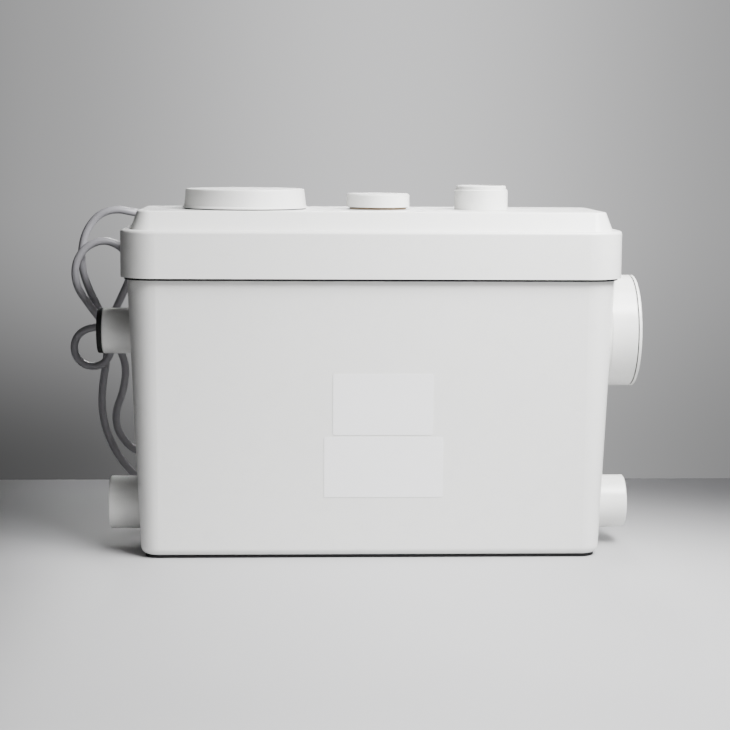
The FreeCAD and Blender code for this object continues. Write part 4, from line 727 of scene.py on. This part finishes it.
capacitorSettings = {    # millimetres along the can, from its terminals
    "outline": [
        (1.0, 12.4), (0.0, 12.9), (0.0, 14.1), (0.7, 14.8), (1.7, 15.0), (3.6, 15.0), (4.2, 14.3),
        (5.0, 14.3), (5.6, 15.0), (56.4, 15.0), (57.5, 14.5), (58.0, 13.4), (57.3, 11.8),
    ],
    "place": (-0.146, 0.018, 0.2715),       # metres
    # the two tabs lie flat beside each other, with a round hole in each
    "tabX": (-153.0, -144.8), "tabZ": (271.5, 272.3), "tabMiddles": (13.0, 23.0), "tabHalf": 3.0,
    "tabEase": 0.15,
    "holeX": -150.2, "holeRadius": 0.9, "holeHalf": 2.0, "holeSides": 16,
}


def makeCapacitor(s):
    can = turned("capacitorCan", s["outline"], s["place"], (0, math.pi / 2, 0))
    finishPiece(can, "grey_plastic", replaced="capacitor")
    (nearX, farX), (low, high) = s["tabX"], s["tabZ"]
    for k, y in enumerate(s["tabMiddles"]):
        near, far = (nearX, y - s["tabHalf"], low), (farX, y + s["tabHalf"], high)
        tab = block("capacitorTab" + str(k + 1), near, far, s["tabEase"])
        outline = [(-s["holeHalf"], s["holeRadius"]), (s["holeHalf"], s["holeRadius"])]
        cutAway(tab, turned("hole", outline, (s["holeX"] * mm, y * mm, low * mm), sides=s["holeSides"]))
        finishPiece(tab, "pin_metal", replaced="capacitor")


terminalScrewSettings = {    # millimetres, from the underside of the head
    "outline": [(-3.0, 1.2), (0.0, 1.3), (0.0, 2.1), (0.2, 2.25), (1.1, 2.2), (1.5, 1.7)],
    "sides": 24,
    "slots": [(2.4, 0.3)],
    "slotFoot": 0.8, "slotTop": 3.0, "slotEase": 0.08,
    "places": [(x, -23.0, 269.2) for x in (-128.33, -117.0, -105.67)],
}


def makeTerminalScrews(s):
    screw = turned("terminalScrew", s["outline"], sides=s["sides"])
    slotHead(screw, s)
    repeated(screw, s["places"], "pin_metal")


makeCapacitor(capacitorSettings)
makeTerminalScrews(terminalScrewSettings)

print("stage: blank stickers")

stickerSettings = {      # metres
    "frontAtFloor": 0.068395,   # how far out the tank's front is at z = 0
    "frontSlope": 0.04191,      # and how much farther for each metre up
    "thick": 0.00025,
    "lift": 0.00008,
    "corner": 0.0012,
    "cornerSteps": 4,
    "rim": 0.0004,
    "places": {      # left, right, low, high
        "ratingSticker": (-0.0359, 0.0553, 0.1159, 0.1723),
        "lowerSticker": (-0.0438, 0.0653, 0.0578, 0.1140),
    },
}


def makeSticker(name, left, right, low, high, s):
    deselectAll()
    lean = math.atan(s["frontSlope"])
    middle = (low + high) / 2
    out = -(s["frontAtFloor"] + middle * s["frontSlope"]) - s["lift"]
    bpy.ops.mesh.primitive_plane_add(
        size=1, location=((left + right) / 2, out, middle), rotation=(math.pi / 2 + lean, 0, 0))
    sticker = bpy.context.object
    sticker.name = name
    sticker.scale = (right - left, (high - low) / math.cos(lean), 1)
    settle(sticker)
    editAll()
    bpy.ops.mesh.bevel(offset=s["corner"], segments=s["cornerSteps"], affect="VERTICES")
    bpy.ops.mesh.select_all(action="SELECT")
    bpy.ops.mesh.inset(thickness=s["rim"], depth=0.0)
    bpy.ops.object.mode_set(mode="OBJECT")
    wall = sticker.modifiers.new("thick", "SOLIDIFY")
    wall.thickness = s["thick"]
    wall.offset = 1         # outwards from the tank
    bpy.ops.object.modifier_apply(modifier="thick")
    finishPiece(sticker, "sticker_film")


for name, place in stickerSettings["places"].items():
    makeSticker(name, *place, stickerSettings)

print("stage: floor")

floorSettings = {        # metres
    "back": 0.33,               # the floor ends here, where the backdrop begins
    "reach": 3.0,
    "cloud": (3.0, 4.0),
    "light": (0.43, 0.43, 0.435),
    "shade": (0.40, 0.40, 0.405),
    "gloss": 0.7,
    "glossSpread": 0.1,
    "dusk": (0.10, 0.10, 0.104),        # painted shade: the floor's darker tone far behind, where the span on the next line ends
    "duskSpan": (-0.02, 0.42),
    "duskTilt": 0.35,           # how much sooner the painted shade comes at the right
    # painted shadow: the tone that the floor darkens towards at its left
    "unlit": (0.0, 0.0, 0.0),
    "leftSpan": (-0.44, -0.24),
    "leftShare": 0.2,           # painted shadow at the left: the share of the floor's tone that is left at the far left
    "leftTilt": 0.12,           # how much farther left that painted dark part begins, for each metre back
    "leftNearest": -0.14,       # nearer than this, its edge runs straight
}


def makeFloor(s):
    deselectAll()
    back, reach = s["back"], s["reach"]
    bpy.ops.mesh.primitive_plane_add(size=1, location=(0, (back - reach) / 2, 0))
    floor = bpy.context.object
    floor.name = "floor"
    floor.scale = (2 * reach, reach + back, 1)
    settle(floor)
    f = Finish("paleFloorPaintedShade")
    cloud = f.noise(*s["cloud"])
    across, depth = f.axis(f.place, "X"), f.axis(f.place, "Y")
    # painted shade: the floor's tone darkens towards the back, and sooner at the right
    dusk = f.gradient(depth + s["duskTilt"] * across, s["duskSpan"], 0, 1)
    # painted shadow: the floor darkens towards its left, past a line that leans farther left towards the back
    behind = f.node("Math", {"operation": "MAXIMUM"}, {0: depth, 1: s["leftNearest"]})
    left = f.gradient(across + s["leftTilt"] * behind, s["leftSpan"], 1 - s["leftShare"], 0)
    paper = f.blend(dusk, f.blend(cloud, s["shade"], s["light"]), s["dusk"])
    f.set(
        Base_Color=f.blend(left, paper, s["unlit"]),
        Roughness=s["gloss"] + f.sway(cloud, s["glossSpread"]),
    )
    floor.data.materials.append(f.material)


makeFloor(floorSettings)

print("stage: light")

# Each Across, Up or Ahead is where a change begins and ends, in the direction that is looked in:
# to the right, upwards, or away from the camera, from -1 to 1
roomSettings = {
    "tint": (1.0, 1.0, 1.01, 1),
    "backdrop": 0.34,           # the glow's least
    "glow": 0.55,               # and how much more at its brightest
    "glowPlace": 0.06,
    "glowWidth": 0.135,
    "footUp": (-0.18, -0.03),
    "footAcross": (-0.15, 0.23),
    "footLeft": 0.77,           # how much darker the backdrop's foot is, at the left and at the right
    "footRight": 0.36,
    "leftAcross": (-0.30, -0.13),
    "leftShade": 0.30,          # the room beyond the picture, at its left
    "roofUp": (0.10, 0.45),
    "roof": 0.5,                # how bright the room is overhead
    "behindAhead": (-0.1, 0.25),
    "frontAcross": (-0.2, 0.5),
    "frontRoom": 0.55,          # how bright the room is on the camera's side
    "frontLeft": 0.08,          # and at its left there
    "rightAcross": (0.30, 0.65),
    "rightShade": 0.34,         # how much of the light is left at the far right
    "groundUp": (-0.10, -0.02),
    "groundAhead": (0.2, 0.5),
    "ground": 0.42,             # the room below the floor's level, past the floor's edge
}


# Soft grey paper behind the object, brightest above it and darker towards its foot and its left
def makeRoom(s):
    world = bpy.data.worlds.new("softRoom")
    world.use_nodes = True
    room = Nodes(world.node_tree)
    way = room.node("TexCoord", {}, {}, "Generated")
    across, ahead, up = (room.axis(way, letter) for letter in "XYZ")
    off = (across - s["glowPlace"]) * (1 / s["glowWidth"])
    glow = room.node("Math", {"operation": "EXPONENT"}, {0: 0 - off * off})
    foot = room.gradient(up, s["footUp"], 1, 0)
    foot = foot * room.gradient(across, s["footAcross"], s["footLeft"], s["footRight"])
    paper = (glow * s["glow"] + s["backdrop"]) * (1 - foot)
    left = room.gradient(across, s["leftAcross"], s["leftShade"], 1)
    roof = room.gradient(up, s["roofUp"], 1, s["roof"])
    behind = room.gradient(ahead, s["behindAhead"], 0, 1)
    front = room.gradient(across, s["frontAcross"], s["frontLeft"], 1) * s["frontRoom"]
    right = room.gradient(across, s["rightAcross"], 1, s["rightShade"])
    below = room.gradient(up, s["groundUp"], 1, 0) * room.gradient(ahead, s["groundAhead"], 1, 0)
    aboveFloor = (paper * left * roof * behind + front * (1 - behind)) * right
    background = world.node_tree.nodes["Background"]
    room.feed(background.inputs["Strength"], aboveFloor * (1 - below) + below * s["ground"])
    room.feed(background.inputs["Color"], s["tint"])
    bpy.context.scene.world = world


# place, aim, size, watts, degrees that the light spreads
lampSettings = {
    "foreBox": ((0.56, -0.84, 1.08), (0.12, -0.52, 0.0), 0.45, 12.6, 90),
    "topBox": ((0.36, -0.25, 0.72), (0.06, -0.06, 0.32), 0.4, 5.9, 110),
    "frontBox": ((0.95, -2.15, 0.62), (0.0, 0.0, 0.17), 0.6, 1.2, 60),
    "backBox": ((0.10, 1.75, 1.30), (-0.03, 0.0, 0.20), 0.6, 1.7, 34),
}


def makeLamp(name, place, aim, size, watts, spread):
    data = bpy.data.lights.new(name, "AREA")
    data.size = size
    data.energy = watts
    data.spread = math.radians(spread)
    lamp = bpy.data.objects.new(name, data)
    bpy.context.scene.collection.objects.link(lamp)
    lamp.location = place
    lamp.rotation_euler = (Vector(aim) - Vector(place)).to_track_quat("-Z", "Y").to_euler()


makeRoom(roomSettings)
for name, values in lampSettings.items():
    makeLamp(name, *values)
